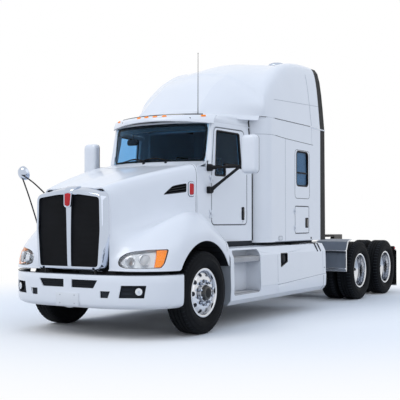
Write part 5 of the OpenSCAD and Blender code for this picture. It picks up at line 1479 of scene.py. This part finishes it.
def fairing_x(z):
    """Half-width of the fairing's outer skin at a height."""
    rows = [(290, 1140), (350, 1188), (480, 1196), (490, 1200), (910, 1190), (1025, 1130), (1040, 980)]
    for (z0, x0), (z1, x1) in zip(rows, rows[1:]):
        if z <= z1:
            return x0 + (x1 - x0) * (z - z0) / (z1 - z0)
    return 980.0


def fair(side):
    """A function that turns [back, z, out] into a point on the fairing's side."""
    def place(s, t, out):
        return [side * (fairing_x(t) + out), s, t]
    return place


STEP = material("step_alloy", (0.26, 0.28, 0.32), 0.42, metal=1.0, vary=0.08, rough_vary=0.1, bump=0.2,
                bump_scale=140)
b = Build("step_planks", "chassis")
for side in (1, -1):
    for top in (434, 906):
        b.box(side * 955, side * 1180, 706, 1474, top - 72, top + 2, STEP, 7)
        for k in range(5):
            z = top - 58 + 12 * k
            b.tube([[side * 1181, 716, z], [side * 1181, 1464, z]], 3.2, BRUSHED, 8)
        for k in range(7):
            x = 982 + 28 * k
            b.tube([[side * x, 712, top + 3], [side * x, 1468, top + 3]], 3.5, BRUSHED, 8)
b.done()

b = Build("step_bay", "chassis")
for side in (1, -1):
    place = fair(side)
    bay = dense_outline(rounded_outline(710, 1470, 400, 1008, 60, 8), 40)
    band(b, bay, place, -10, 12, -14, 1.2, WHITE)
    b.box(side * 952, side * 966, 706, 1474, 436, 834, WHITE, 4)
    b.box(side * 952, side * 966, 706, 1474, 908, 1016, WHITE, 4)
    for back in (712, 1462):
        b.box(side * 955, side * 1176, back - 3, back + 9, 436, 834, WHITE, 3)
b.done()

b = Build("filler_pocket", "chassis")
for side in (1, -1):
    place = fair(side)
    pocket = soft_outline([(2084, 718), (2312, 786), (2312, 918), (2086, 920)], 18)
    b.slab(pocket, place, -42, -36, GAP_AND_SHADE)
    outline = dense_outline(pocket, 30)
    band(b, outline, place, -8, 5, -40, 1.5, GLOSS)
    corner = [(2084, 708), (2316, 708), (2316, 790)]
    b.slab(corner, place, -8, 0.6, WHITE)
    b.disc_stack([[58, 0], [58, 22], [50, 30], [20, 34], [0.3, 34]], place(2190, 836, -36), [side, 0, 0.1],
                 BLACK, 28)
b.done()

b = Build("fairing_skirts", "chassis")
for side in (1, -1):
    rings = []
    for back in (1990, 2010, 2060, 2400, 2900, 3400, 3560, 3690, 3704):
        line = 462 + (back - 1990) * 0.042
        grow = 9.0 if 2010 <= back <= 3690 else 0.5
        section = ((fairing_x(line) + 0.2, line + 8), (fairing_x(line) + grow, line), (1197 + grow, 420),
                   (1190 + grow, 354), (1164 + grow * 0.7, 318), (1140 + grow * 0.5, 289), (1128, 289),
                   (1150, 330), (1180, 380))
        rings.append([[side * x, back, z] for x, z in section])
    b.loft(rings, WHITE)
b.done(angle=28)

b = Build("fairing_seams", "chassis")
for side in (1, -1):
    place = fair(side)

    def fairing_line(points, width, mat, lift=0.8):
        ribbon(b, [place(s, t, 0) for s, t in points], [[side, 0, 0]] * len(points), width, mat, lift, 2)

    fairing_line([(1990 + 1700 * k / 16, 474 + 71.4 * k / 16) for k in range(17)], 7, GREY_LINE, 1.2)
    # Grey line at back 1986: painted shade of the soft edge where the fairing turns from recessed to bulged
    fairing_line([(1986, z) for z in np.linspace(478, 900, 12)], 5, GREY_LINE)
    fairing_line([(3588, z) for z in np.linspace(545, 905, 12)], 5, GREY_LINE)
    skirt = ((1209.5, 526), (1206.5, 420), (1199.5, 354), (1172, 318), (1146, 290))
    ribbon(b, [[side * x, 3588, z] for x, z in skirt], [[side, 0, -0.1]] * 5, 5, GAP_AND_SHADE, 0.8, 2)
    b.disc_stack([[9, 0], [9, 3], [5, 5], [0.2, 5.2]], place(3640, 640, 0), [side, 0, 0], BLACK, 14)
    b.box(side * 1000, side * 1112, 2590, 2876, 1028, 1044, BLACK, 5)
    strap = ((1192, 905), (1165, 968), (1131, 1030), (1060, 1037), (990, 1044))
    for back in (3390, 3505):
        ribbon(b, [[side * x, back, z] for x, z in strap], [[side * 0.8, 0, 0.6]] * 5, 34, BLACK, 4, 4)
b.done()

# Front face of each fairing, towards the front tyre
b = Build("fairing_front_faces", "chassis")
PALE = material("pale_moulding", (0.42, 0.45, 0.49), 0.5, vary=0.08, rough_vary=0.1, bump=0.15,
                bump_scale=200)
for side in (1, -1):
    face = ((1136, 294), (1184, 352), (1194, 486), (1186, 908), (1126, 1020), (990, 1034), (960, 1030),
            (960, 300))
    b.loft([[[side * x, FAIR_FRONT + depth, z] for x, z in face] for depth in (-8, 2)], PALE)
    edge = ((1138, 292), (1188, 350), (1198, 486), (1189, 910), (1130, 1022), (990, 1036))
    b.tube([[side * x, FAIR_FRONT - 6, z] for x, z in edge], 8, WHITE, 10)
b.done()

# Quarter fenders: bright frames round grey faces, whose grey is a painted reflection of the dark
# surroundings in the bright metal
DRIVE_AXLES = (5240.0, 6560.0)
QF = DRIVE_AXLES[0] - AXLE_Z
b = Build("quarter_fender_set", "chassis")
for side in (1, -1):
    x0, x1 = 629.0, 1211.0
    face = [(QF - 190, 530), (QF - 190, 880), (QF - 110, 1030), (QF + 40, 1064)]
    rings = []
    for back, z in face:
        rings.append([[side * x0, back, z], [side * x1, back, z], [side * x1, back + 6, z - 4],
                      [side * x0, back + 6, z - 4]])
    # Grey face: painted reflection of the dark fairing and ground in the bright metal
    b.loft(rings, GREY_PAINT_AND_REFLECTION)
    for x in (x0 + 4, x1 - 4):
        b.tube([[side * x, back, z] for back, z in face], 11, ALLOY, 10)
    b.tube([[side * x0, QF - 190, 534], [side * x1, QF - 190, 534]], 12, ALLOY, 10)
    b.tube([[side * x0, QF + 38, 1062], [side * x1, QF + 38, 1062]], 9, ALLOY, 10)
    b.box(side * x0, side * x1, QF - 236, QF - 188, 868, 884, ALLOY, 4)
    b.box(side * x0, side * x1, QF - 232, QF - 188, 846, 856, BLACK, 3)
    b.box(side * x0, side * x1, QF - 222, QF - 186, 556, 586, ALLOY, 6)
    for x in (760, 900, 1040, 1150):
        b.tube([[side * x, QF - 193, 600], [side * x, QF - 193, 840]], 4, GREY_PAINT_AND_REFLECTION, 8)
    b.tube([[side * 432, QF - 160, 760], [side * 690, QF - 160, 760]], 20, STEEL_BLACK, 14)
    b.box(side * x0, side * (x0 + 60), QF - 184.5, QF - 160, 730, 790, STEEL_BLACK, 5)
b.done(replaces=["quarter_fenders"])

# Deck plate behind the sleeper, with raised bars
b = Build("deck_plate", "chassis")
b.box(-420, 420, 3900, 4760, 961, 972, STEEL_BLACK, 3)
for k in range(14):
    for m in range(9):
        x, back = -380 + 95 * m, 3935 + 60 * k
        b.box(x - 16, x + 16, back - 4, back + 4, 971, 975, STEEL_BLACK)
b.done()

# Tail: lamp bezels, and flap brackets with marker lamps
REAR, RAIL_END = 7145.0, 7060.0
b = Build("tail_lamp_trim", "chassis")
for s in (-1, 1):
    for i in (0, 1):
        x = s * (210 + 150 * i)
        b.disc_stack([[60, 0], [60, 12], [56, 18], [52.5, 18], [52.5, 6]], [x, RAIL_END - 60, 830],
                     [0, 1, 0], BLACK, 36)
        b.disc_stack([[50, 22], [46, 27], [30, 31], [10, 32.5], [0.2, 32.6]], [x, RAIL_END - 62, 830],
                     [0, 1, 0], RED, 36)
b.done()
b = Build("flap_trim", "chassis")
for side in (1, -1):
    b.box(side * 640, side * 1208, REAR - 40, REAR - 12, 796, 822, STEEL_BLACK, 4)
    b.box(side * 640, side * 1208, REAR - 16, REAR - 1, 116, 140, BRUSHED, 3)
    for x in (700, 860, 1020, 1160):
        b.disc_stack([[11, 0], [11, 5], [6, 8], [0.2, 8.2]], [side * x, REAR - 13, 808], [0, 1, 0], BRUSHED,
                     14)
    b.disc_stack([[34, -30], [34, 0], [30, 6], [14, 10], [0.2, 10.5]], [side * 1165, REAR - 60, 852],
                 [0, 1, 0], RED, 24)
    b.box(side * 1130, side * 1200, REAR - 92, REAR - 60, 818, 888, BLACK, 8)
    b.disc_stack([[20, 0], [20, 9], [12, 14], [0.2, 15]], [side * 1198, REAR - 76, 852], [side, 0, 0], RED,
                 20)
b.done()

# Wheels and tyres as turned shapes
TYRE_D, TYRE_W, RIM_D = 1016.0, 290.0, 604.0
FRONT_X, DUAL_X, DUAL_HALF = 1065.0, 909.0, 165.0
LUGS, NUT_CIRCLE = 56, 142.5
# Grooves, the dark line across the shoulder as [x, radius] and half its width
STEER_TREAD = ((-78, -28, 28, 78), ((88, 507.6), (112, 503.4), (121, 492.5)), 2.2)
DRIVE_TREAD = ((-52, 0, 52), ((58, 508.4), (92, 508.2), (112, 503.6), (123, 488.5)), 4.5)


def tyre_profile(grooves):
    """Outline of a tyre's section, [radius, x], round from one bead to the other."""
    r1, r2, w = TYRE_D / 2, RIM_D / 2 + 3, TYRE_W / 2
    half = [(286, 102), (296, 103.5), (r2, 104), (r2 + 12, 116), (r2 + 34, w - 10), (r2 + 50, w - 4),
            (r2 + 64, w - 1.5), (r2 + 84, w), (r2 + 96, w - 0.8), (r2 + 98, w + 0.8), (r2 + 104, w + 0.8),
            (r2 + 106, w - 1), (r1 - 70, w - 6), (r1 - 48, w - 12), (r1 - 46, w - 9), (r1 - 40, w - 10),
            (r1 - 38, w - 15), (r1 - 20, w - 22), (r1 - 9, w - 31), (r1 - 4, w - 40), (r1, w - 60)]
    tread = []
    for g in sorted(grooves, reverse=True):
        tread += [(r1, g + 5.5), (r1 - 13, g + 3.5), (r1 - 13, g - 3.5), (r1, g - 5.5)]
    return half + tread + [(r, -x) for r, x in half[::-1]]


def add_tyre(b, x, back, side, drive):
    """A grooved tyre with dark lines across both shoulders."""
    centre = [x, back, AXLE_Z]
    grooves, lug, h = DRIVE_TREAD if drive else STEER_TREAD
    b.lathe(tyre_profile(grooves), centre, RUBBER, 96, side)
    for k in range(LUGS):
        a = math.tau * (k + 0.5) / LUGS
        radial = np.array([0, math.sin(a), math.cos(a)])
        around = np.array([0, math.cos(a), -math.sin(a)])
        for s in (-1, 1):
            rows = []
            for out, r in lug:
                p = np.array(centre) + radial * (r + 0.5) + np.array([s * out, 0, 0])
                rows.append([p + around * h, p - around * h, p - around * h - radial * 3,
                             p + around * h - radial * 3])
            b.loft(rows, GAP_AND_SHADE)


def add_nuts(b, centre, side, start, tip, count=10):
    """Bright wheel nuts in dark cups, from one distance out to another."""
    for k in range(count):
        a = math.tau * k / count
        p = [centre[0] + side * start, centre[1] + NUT_CIRCLE * math.sin(a),
             centre[2] + NUT_CIRCLE * math.cos(a)]
        reach = tip - start
        b.disc_stack([[22, 0], [22, 6], [19, 10]], p, [side, 0, 0], BLACK, 12)
        b.disc_stack([[17, 6], [17, reach * 0.55], [14, reach * 0.62], [14, reach * 0.9], [9, reach],
                      [0.2, reach + 1]], p, [side, 0, 0], CHROME, 12)


def add_hand_holes(b, centre, side, circle, at_x, tilt, radius=29, count=10):
    """Round hand holes in a wheel's disc, tilted with its face, each a bright rim round a dark disc:
    painted shade in place of an opening.
    """
    for k in range(count):
        a = math.tau * (k + 0.5) / count
        radial = np.array([0, math.sin(a), math.cos(a)])
        p = np.array(centre) + radial * circle + np.array([side * at_x, 0, 0])
        n = np.array([side * math.cos(tilt), 0, 0]) + radial * math.sin(tilt)
        b.disc_stack([[radius + 4, -3], [radius + 4, 1.2], [radius + 2.5, 2.2], [radius, 1.2],
                      [radius, -1]], p, n, ALLOY, 24)
        # Dark disc flush with the rim: painted shade where the hole would show through the wheel
        b.disc_stack([[radius, -3], [radius, 0.9], [0.3, 0.9]], p, n, GAP_AND_SHADE, 24)


FRONT_WHEEL = [(296, 117), (301, 115.5), (302.5, 112), (302, 104.3), (286, 103.4), (284.2, 98), (283.5, 0),
               (284.2, -98), (286, -103.4), (302, -104.3), (302.5, -112), (296, -117), (270, -116),
               (266, -100), (264, 0), (262, 30), (240, 54), (196, 82), (100, 84), (100, 106), (150, 107.5),
               (190, 107.5), (206, 105.5), (222, 101), (240, 92), (256, 80), (266, 68), (271, 66),
               (269, 84), (269, 100), (272, 111), (280, 116), (288, 117.5), (296, 117)]
for name, side in SIDES:
    centre = [side * FRONT_X, 0.0, AXLE_Z]
    body = "front_wheel_" + name
    b = Build("front_rim_" + name, body)
    b.lathe(FRONT_WHEEL, centre, ALLOY, 128, side)
    add_hand_holes(b, centre, side, 234, 96.2, math.radians(34))
    b.lathe([(99, 84), (112, 84), (113, 126), (108, 131), (100, 132), (100, 100), (99, 84)], centre,
            BRUSHED, 64, side)
    b.lathe([(101, 130), (97, 136), (90, 150), (87, 164), (80, 171), (60, 174), (30, 175.5), (0.3, 176)],
            centre, GLOSS, 64, side)
    b.lathe([(60, 174.4), (58, 177), (40, 178.5), (0.3, 179)], centre, BLACK, 48, side)
    b.lathe([(186, -118), (212, -118), (214, -100), (214, 60), (206, 71), (99, 80), (99, -48), (60, -48),
             (60, -60), (186, -60), (186, -118)], centre, IRON, 64, side)
    add_nuts(b, centre, side, 106, 166)
    b.done(angle=35, replaces=["wheel_front_" + name])
    b = Build("front_tread_" + name, body)
    add_tyre(b, side * FRONT_X, 0.0, side, False)
    b.done(angle=35, replaces=["tyre_front_" + name])

OUTER_RIM = [(296, 282), (301, 280.5), (302.5, 277), (302, 269.3), (286, 268.4), (284.2, 262), (283.5, 165),
             (284.2, 68), (286, 61.6), (302, 60.7), (302.5, 53), (296, 48), (270, 49), (266, 64),
             (263, 100), (204, 3), (108, 3), (108, 25), (206, 25), (216, 29), (226, 42), (274, 124),
             (280, 137), (276, 150), (268, 165), (267, 240), (269, 262), (273, 276), (282, 281.5),
             (296, 282)]
for k, back in enumerate(DRIVE_AXLES, 1):
    for name, side in SIDES:
        centre = [side * DUAL_X, back, AXLE_Z]
        body = f"drive_wheels_{k}_{name}"
        b = Build(f"drive_rims_{k}_{name}", body)
        b.lathe(OUTER_RIM, centre, ALLOY, 112, side)
        b.lathe([(r, -x) for r, x in OUTER_RIM], centre, ALLOY, 96, side)
        add_hand_holes(b, centre, side, 244, 74.5, math.radians(-59))
        b.lathe([(100, 24), (113, 24), (113, 60), (108, 66), (97, 67), (97, 24)], centre, BLACK, 64, side)
        b.lathe([(98, 64), (97, 78), (90, 83), (52, 92), (20, 96), (0.3, 96.5)], centre, GLOSS, 64, side)
        for m in range(8):
            a = math.tau * m / 8
            p = np.array([centre[0] + side * 84, centre[1] + 76 * math.sin(a),
                          centre[2] + 76 * math.cos(a)])
            b.disc_stack([[9, -4], [9, 7], [6, 10], [0.2, 10.5]], p, [side, 0, 0], BRUSHED, 10)
        b.lathe([(186, -278), (212, -278), (214, -262), (214, -80), (206, -70), (111, -50), (111, -240),
                 (70, -240), (70, -254), (186, -254), (186, -278)], centre, IRON, 64, side)
        add_nuts(b, centre, side, 24, 60)
        b.done(angle=35, replaces=[f"wheels_drive{k}_{name}"])
        b = Build(f"drive_treads_{k}_{name}", body)
        for s in (-DUAL_HALF, DUAL_HALF):
            add_tyre(b, side * (DUAL_X + s), back, side, True)
        b.done(angle=35, replaces=[f"tyres_drive{k}_{name}"])

# Seats and bunk: padded forms swollen by cloth pressure from slightly smaller blocks
SWELL, SEAT_X, FLOOR_Z = 16.0, 430.0, 1150.3
VOXEL, PRESSURE, CLOTH_FRAMES = 0.018, 4.0, 12
CHANNEL_WIDTH, CHANNEL_DEPTH = 0.014, 0.012


def cushion(name, x0, x1, back0, back1, z0, z1, flat, channels):
    """A stuffed pad in a box.

    flat is the axis and the end that rests on something, and channels are the x of the sewn lines.
    """
    low, high = P(x0, back0, z0), P(x1, back1, z1)
    inset = SWELL / 1000
    bm = bmesh.new()
    bmesh.ops.create_cube(bm, size=1.0)
    for v in bm.verts:
        v.co = Vector((low[i] + inset + (v.co[i] + 0.5) * (high[i] - low[i] - 2 * inset) for i in range(3)))
    bmesh.ops.bevel(bm, geom=list(bm.edges), offset=0.03, segments=3, profile=0.5, affect="EDGES")
    mesh = bpy.data.meshes.new(name)
    bm.to_mesh(mesh)
    bm.free()
    block = bpy.data.objects.new(name + "_block", mesh)
    scene.collection.objects.link(block)
    remesh = block.modifiers.new("remesh", "REMESH")
    remesh.mode, remesh.voxel_size = "VOXEL", VOXEL
    bpy.context.view_layer.update()
    block.data = bpy.data.meshes.new_from_object(block.evaluated_get(bpy.context.evaluated_depsgraph_get()))
    block.modifiers.clear()
    start = np.array([v.co for v in block.data.vertices])
    axis, end = flat
    level = start[:, axis].min() if end < 0 else start[:, axis].max()
    held = block.vertex_groups.new(name="held")
    held.add([int(i) for i in np.nonzero(np.abs(start[:, axis] - level) < 0.004)[0]], 1.0, "REPLACE")
    cloth = block.modifiers.new("cloth", "CLOTH")
    cloth.settings.use_pressure = True
    cloth.settings.uniform_pressure_force = PRESSURE
    cloth.settings.vertex_group_mass = "held"
    cloth.settings.effector_weights.gravity = 0.0
    for step in range(1, CLOTH_FRAMES + 1):
        scene.frame_set(step)
    swollen = block.evaluated_get(bpy.context.evaluated_depsgraph_get()).to_mesh()
    moved = np.array([v.co for v in swollen.vertices]) - start
    far = np.linalg.norm(moved, axis=1, keepdims=True)
    points = start + moved * np.minimum(1.0, inset / np.maximum(far, 1e-9))
    for at_x in channels:
        near = np.exp(-((points[:, 0] - at_x / 1000) / CHANNEL_WIDTH) ** 2)
        toward = np.zeros_like(points)
        toward[:, axis] = np.sign(level - points[:, axis])
        points += toward * (CHANNEL_DEPTH * near * (np.abs(points[:, axis] - level) > 0.03))[:, None]
    faces = [tuple(p.vertices) for p in block.data.polygons]
    scene.frame_set(1)
    bpy.data.objects.remove(block)
    b = Build(name, "chassis")
    b.put([Vector(p) for p in points], faces, CLOTH)
    b.done(angle=60)


b = Build("seat_bases", "chassis")
for side in (1, -1):
    mid = SEAT_X * side
    b.box(mid - 170, mid + 170, 1060, 1440, FLOOR_Z, 1210, STEEL_BLACK, 12)
    for k in range(7):
        b.box(mid - 160 + 4 * (k % 2), mid + 160 - 4 * (k % 2), 1070, 1430, 1206 + 30 * k, 1240 + 30 * k,
              FLAP, 12)
    b.box(mid - 215, mid + 215, 1010, 1470, 1412, 1460, TRIM, 16)
    for edge in (-1, 1):
        b.box(mid + edge * 232 - 9, mid + edge * 232 + 9, 1130, 1470, 1462, 1510, TRIM, 8)
        b.tube([(mid + edge * 150, 1470, 1450), (mid + edge * 150, 1532, 1500),
                (mid + edge * 150, 1548, 1640)], 14, STEEL_BLACK, 12)
    b.box(mid - 205, mid + 205, 1534, 1560, 1610, 2110, TRIM, 12)
    for edge in (-1, 1):
        b.tube([(mid + edge * 55, 1500, 2090), (mid + edge * 55, 1500, 2190)], 7, CHROME, 12)
b.done(replaces=["seats"])
for name, side in SIDES:
    mid = SEAT_X * side
    cushion("seat_cushion_" + name, mid - 220, mid + 220, 990, 1480, 1460, 1602, (2, -1),
            (mid - 120, mid + 120))
    cushion("seat_back_" + name, mid - 225, mid + 225, 1416, 1536, 1606, 2126, (1, 1),
            (mid - 120, mid + 120))
    cushion("seat_headrest_" + name, mid - 135, mid + 135, 1432, 1548, 2146, 2298, (1, 1), ())

b = Build("bunk_base", "chassis")
b.box(-1079.7, 1079.7, 2458, 3339.7, FLOOR_Z, 1590, TRIM, 6)
b.box(-1060, 1060, 2444, 2460, 1562, 1590, BLACK, 6)
for x0, x1 in ((-1040, -380), (-350, 350), (380, 1040)):
    b.box(x0, x1, 2446, 2462, 1190, 1540, TRIM, 10)
    b.box((x0 + x1) / 2 - 60, (x0 + x1) / 2 + 60, 2440.5, 2450, 1480, 1500, BLACK, 5)
b.done(replaces=["bunk"])
cushion("bunk_mattress", -1072, 1072, 2446, 3336, 1592, 1758, (2, -1), (-720, -360, 0, 360, 720))

# Dashboard: binnacle, gauges, vents, wrap-round centre panel and the wheel's boss
DASH_TOP, WHEEL_X = 2040.0, SEAT_X
b = Build("dashboard_trim", "chassis")
rings = []
for back, drop in ((560, 40), (640, 8), (720, 0), (752, 4), (752, 22), (700, 30)):
    arc = []
    for i in range(25):
        u = -1 + i / 12
        arc.append((WHEEL_X + 250 * u, back, DASH_TOP + 62 * (1 - u * u) ** 0.5 - drop * (1 - u * u)))
    rings.append(arc)
b.skin(rings, 8, TRIM)
b.box(WHEEL_X - 245, WHEEL_X + 245, 700, 730, 1860, 2046, GLOSS, 10)
for x, z, radius in ((-150, 1962, 62), (0, 1976, 70), (150, 1962, 62), (-72, 1896, 34), (72, 1896, 34)):
    centre = (WHEEL_X + x, 727, z)
    b.disc_stack([[radius, 0], [radius, 8], [radius - 4, 10], [radius - 7, 6]], centre, [0, 1, 0], CHROME,
                 32)
    b.disc_stack([[radius - 7, 5], [0.3, 5.2]], centre, [0, 1, 0], BLACK, 32)
    b.box(centre[0] - 2, centre[0] + 2, 732, 735, z, z + radius - 14, RED)
b.box(-180, 150, 700, 772, 1660, 2010, BLACK, 14)
b.box(-120, 90, 768, 777, 1880, 1990, GLOSS, 6)
for k in range(3):
    b.disc_stack([[20, 0], [19, 16], [14, 18], [0.3, 18]], (-100 + 85 * k, 771, 1830), [0, 1, 0], TRIM, 24)
for k in range(8):
    b.box(-140 + 32 * k, -116 + 32 * k, 768, 779, 1760, 1786, TRIM, 4)
for x in (-680, -330, 690):
    b.box(x - 55, x + 55, 722, 733, 1930, 1996, BLACK, 8)
    for k in range(4):
        b.box(x - 48, x + 48, 730, 736, 1938 + 15 * k, 1943 + 15 * k, STEEL_BLACK)
b.box(-650, -230, 722, 731, 1680, 1870, TRIM, 12)
b.box(-480, -400, 729, 737, 1840, 1856, BLACK, 4)
axis = np.array([0, 0.866, 0.5])
boss = np.array([WHEEL_X, 716, 1850.0])
b.disc_stack([[46, 20], [52, 120], [40, 160]], boss, axis, TRIM, 28)
b.disc_stack([[40, 168], [78, 176], [80, 192], [70, 202], [0.3, 206]], boss, axis, TRIM, 36)
for s in (-1, 1):
    b.tube([boss + axis * 110 + np.array([40.0 * s, 0, 0]),
            boss + axis * 122 + np.array([170.0 * s, 10, 12])], 8, BLACK, 10)
b.tube([(60, 900, 1152), (60, 905, 1420), (64, 930, 1600)], 11, STEEL_BLACK, 14)
b.disc_stack([[10, -20], [24, 0], [29, 26], [22, 48], [0.3, 54]], (64, 931, 1604), [0, 0.1, 1], GLOSS, 24)
for x, wide in ((520, 60), (380, 50), (260, 50)):
    b.box(x - wide, x + wide, 742, 760, 1200, 1290, FLAP, 6,
          turn=Matrix.Rotation(math.radians(-35), 3, "X"), about=(x, 750, 1240))
b.done()

# Engine dressing under the tilting hood
b = Build("engine_dressing", "chassis")
b.box(-175, 175, -545, 225, 1640.3, 1700, ENGINE, 22)
for k in range(12):
    b.box(-150, 150, -520 + 62 * k, -504 + 62 * k, 1698, 1708, ENGINE, 4)
for k in range(7):
    for x in (-166, 166):
        b.disc_stack([[12, 0], [12, 10], [0.3, 11]], (x, -520 + 118 * k, 1690), [0, 0, 1], BRUSHED, 6)
b.box(250, 330, -500, 160, 1380, 1500, ENGINE, 30)
for k in range(6):
    b.tube([(250, -470 + 120 * k, 1420), (300, -470 + 120 * k, 1430)], 34, ENGINE, 16)
b.tube([(300, -500, 1440), (330, -620, 1450), (360, -760, 1440), (360, -872, 1420)], 44, RUBBER, 20)
b.tube([(-255, -430, 1400), (-320, -300, 1400), (-330, 60, 1390)], 40, IRON, 20)
for k in range(6):
    b.tube([(-250, -450 + 105 * k, 1430), (-300, -440 + 98 * k, 1405)], 26, IRON, 14)
b.disc_stack([[70, -90], [112, -70], [120, -10], [86, 20], [60, 60]], (-330, -40, 1290), [0, -1, 0], IRON,
             32)
b.disc_stack([[56, 60], [96, 74], [104, 120], [70, 150], [48, 156]], (-330, -40, 1290), [0, -1, 0], BRUSHED,
             32)
b.tube([(-330, -190, 1290), (-340, -420, 1300), (-360, -700, 1380), (-360, -872, 1400)], 46, RUBBER, 20)
b.tube([(-330, 60, 1390), (-360, 170, 1340), (-370, 250, 1200), (-380, 262, 1080)], 52, IRON, 20)
b.tube([(0, -560, 1560), (40, -700, 1600), (120, -860, 1640)], 34, RUBBER, 18)
b.tube([(-60, -600, 900), (-120, -740, 930), (-200, -872, 1040)], 36, RUBBER, 18)
for x, z, radius in ((0, 1160, 120), (150, 1330, 62), (-150, 1300, 70), (120, 1000, 90)):
    b.disc_stack([[radius, 0], [radius, 12], [radius - 8, 16], [radius - 8, 30], [radius, 34], [radius, 46],
                  [16, 48], [0.3, 52]], (x, -600, z), [0, -1, 0], STEEL_BLACK, 36)
for k in range(9):
    turn = Matrix.Rotation(math.tau * k / 9, 3, "Y")
    b.box(-45, 45, -720, -690, 1350, 1560, BLACK, 8, turn=turn, about=(0, -705, 1280))
b.disc_stack([[80, 0], [80, 60], [0.3, 64]], (0, -670, 1280), [0, -1, 0], STEEL_BLACK, 32)
b.disc_stack([[322, 0], [336, 0], [336, 110], [322, 110], [322, 0]], (0, -768, 1330), [0, -1, 0], BLACK, 56)
b.done()

b = Build("radiator_dressing", "chassis")
b.box(-420, 420, -1004, -876, 1640, 1700, BLACK, 14)
b.box(-420, 420, -1004, -876, 1062, 1110, BLACK, 14)
for x in (-402, 402):
    b.box(x - 18, x + 18, -1004, -876, 1062, 1700, STEEL_BLACK, 6)
for k in range(42):
    b.box(-384, 384, -1003, -996, 1116 + 12.4 * k, 1121 + 12.4 * k, BRUSHED)
b.disc_stack([[36, 0], [36, 26], [30, 32], [0.3, 33]], (260, -940, 1698), [0, 0, 1], BLACK, 24)
b.done()

b = Build("engine_bay_fittings", "chassis")
b.disc_stack([[150, 0], [160, 8], [160, 300], [150, 310], [90, 316], [0.3, 318]], (-430, 70, 1480),
             [0, 1, 0], BLACK, 40)
for along in (70, 160, 250):
    b.disc_stack([[161, along], [166, along + 4], [166, along + 18], [161, along + 22]], (-430, 70, 1480),
                 [0, 1, 0], STEEL_BLACK, 40)
b.tube([(-430, 60, 1480), (-420, -20, 1470), (-380, -60, 1400), (-340, -70, 1310)], 62, RUBBER, 20)
b.box(330, 520, 250, 390, 1480, 1640, PLATE, 24)
b.disc_stack([[34, 0], [34, 24], [28, 30], [0.3, 31]], (425, 320, 1638), [0, 0, 1], BLACK, 24)
b.tube([(340, 250, 1500), (250, 200, 1560), (120, 120, 1600)], 14, RUBBER, 12)
b.tube([(420, 255, 1490), (430, 0, 1330), (420, -500, 1300), (400, -872, 1320)], 16, RUBBER, 12)
b.done()

b = Build("firewall_panel", "chassis")
b.box(-640, 640, 384, 395.2, 1180, 1880, TRIM, 5)
for x in (-480, -160, 160, 480):
    b.box(x - 120, x + 120, 378, 386, 1230, 1830, TRIM, 8)
b.done()
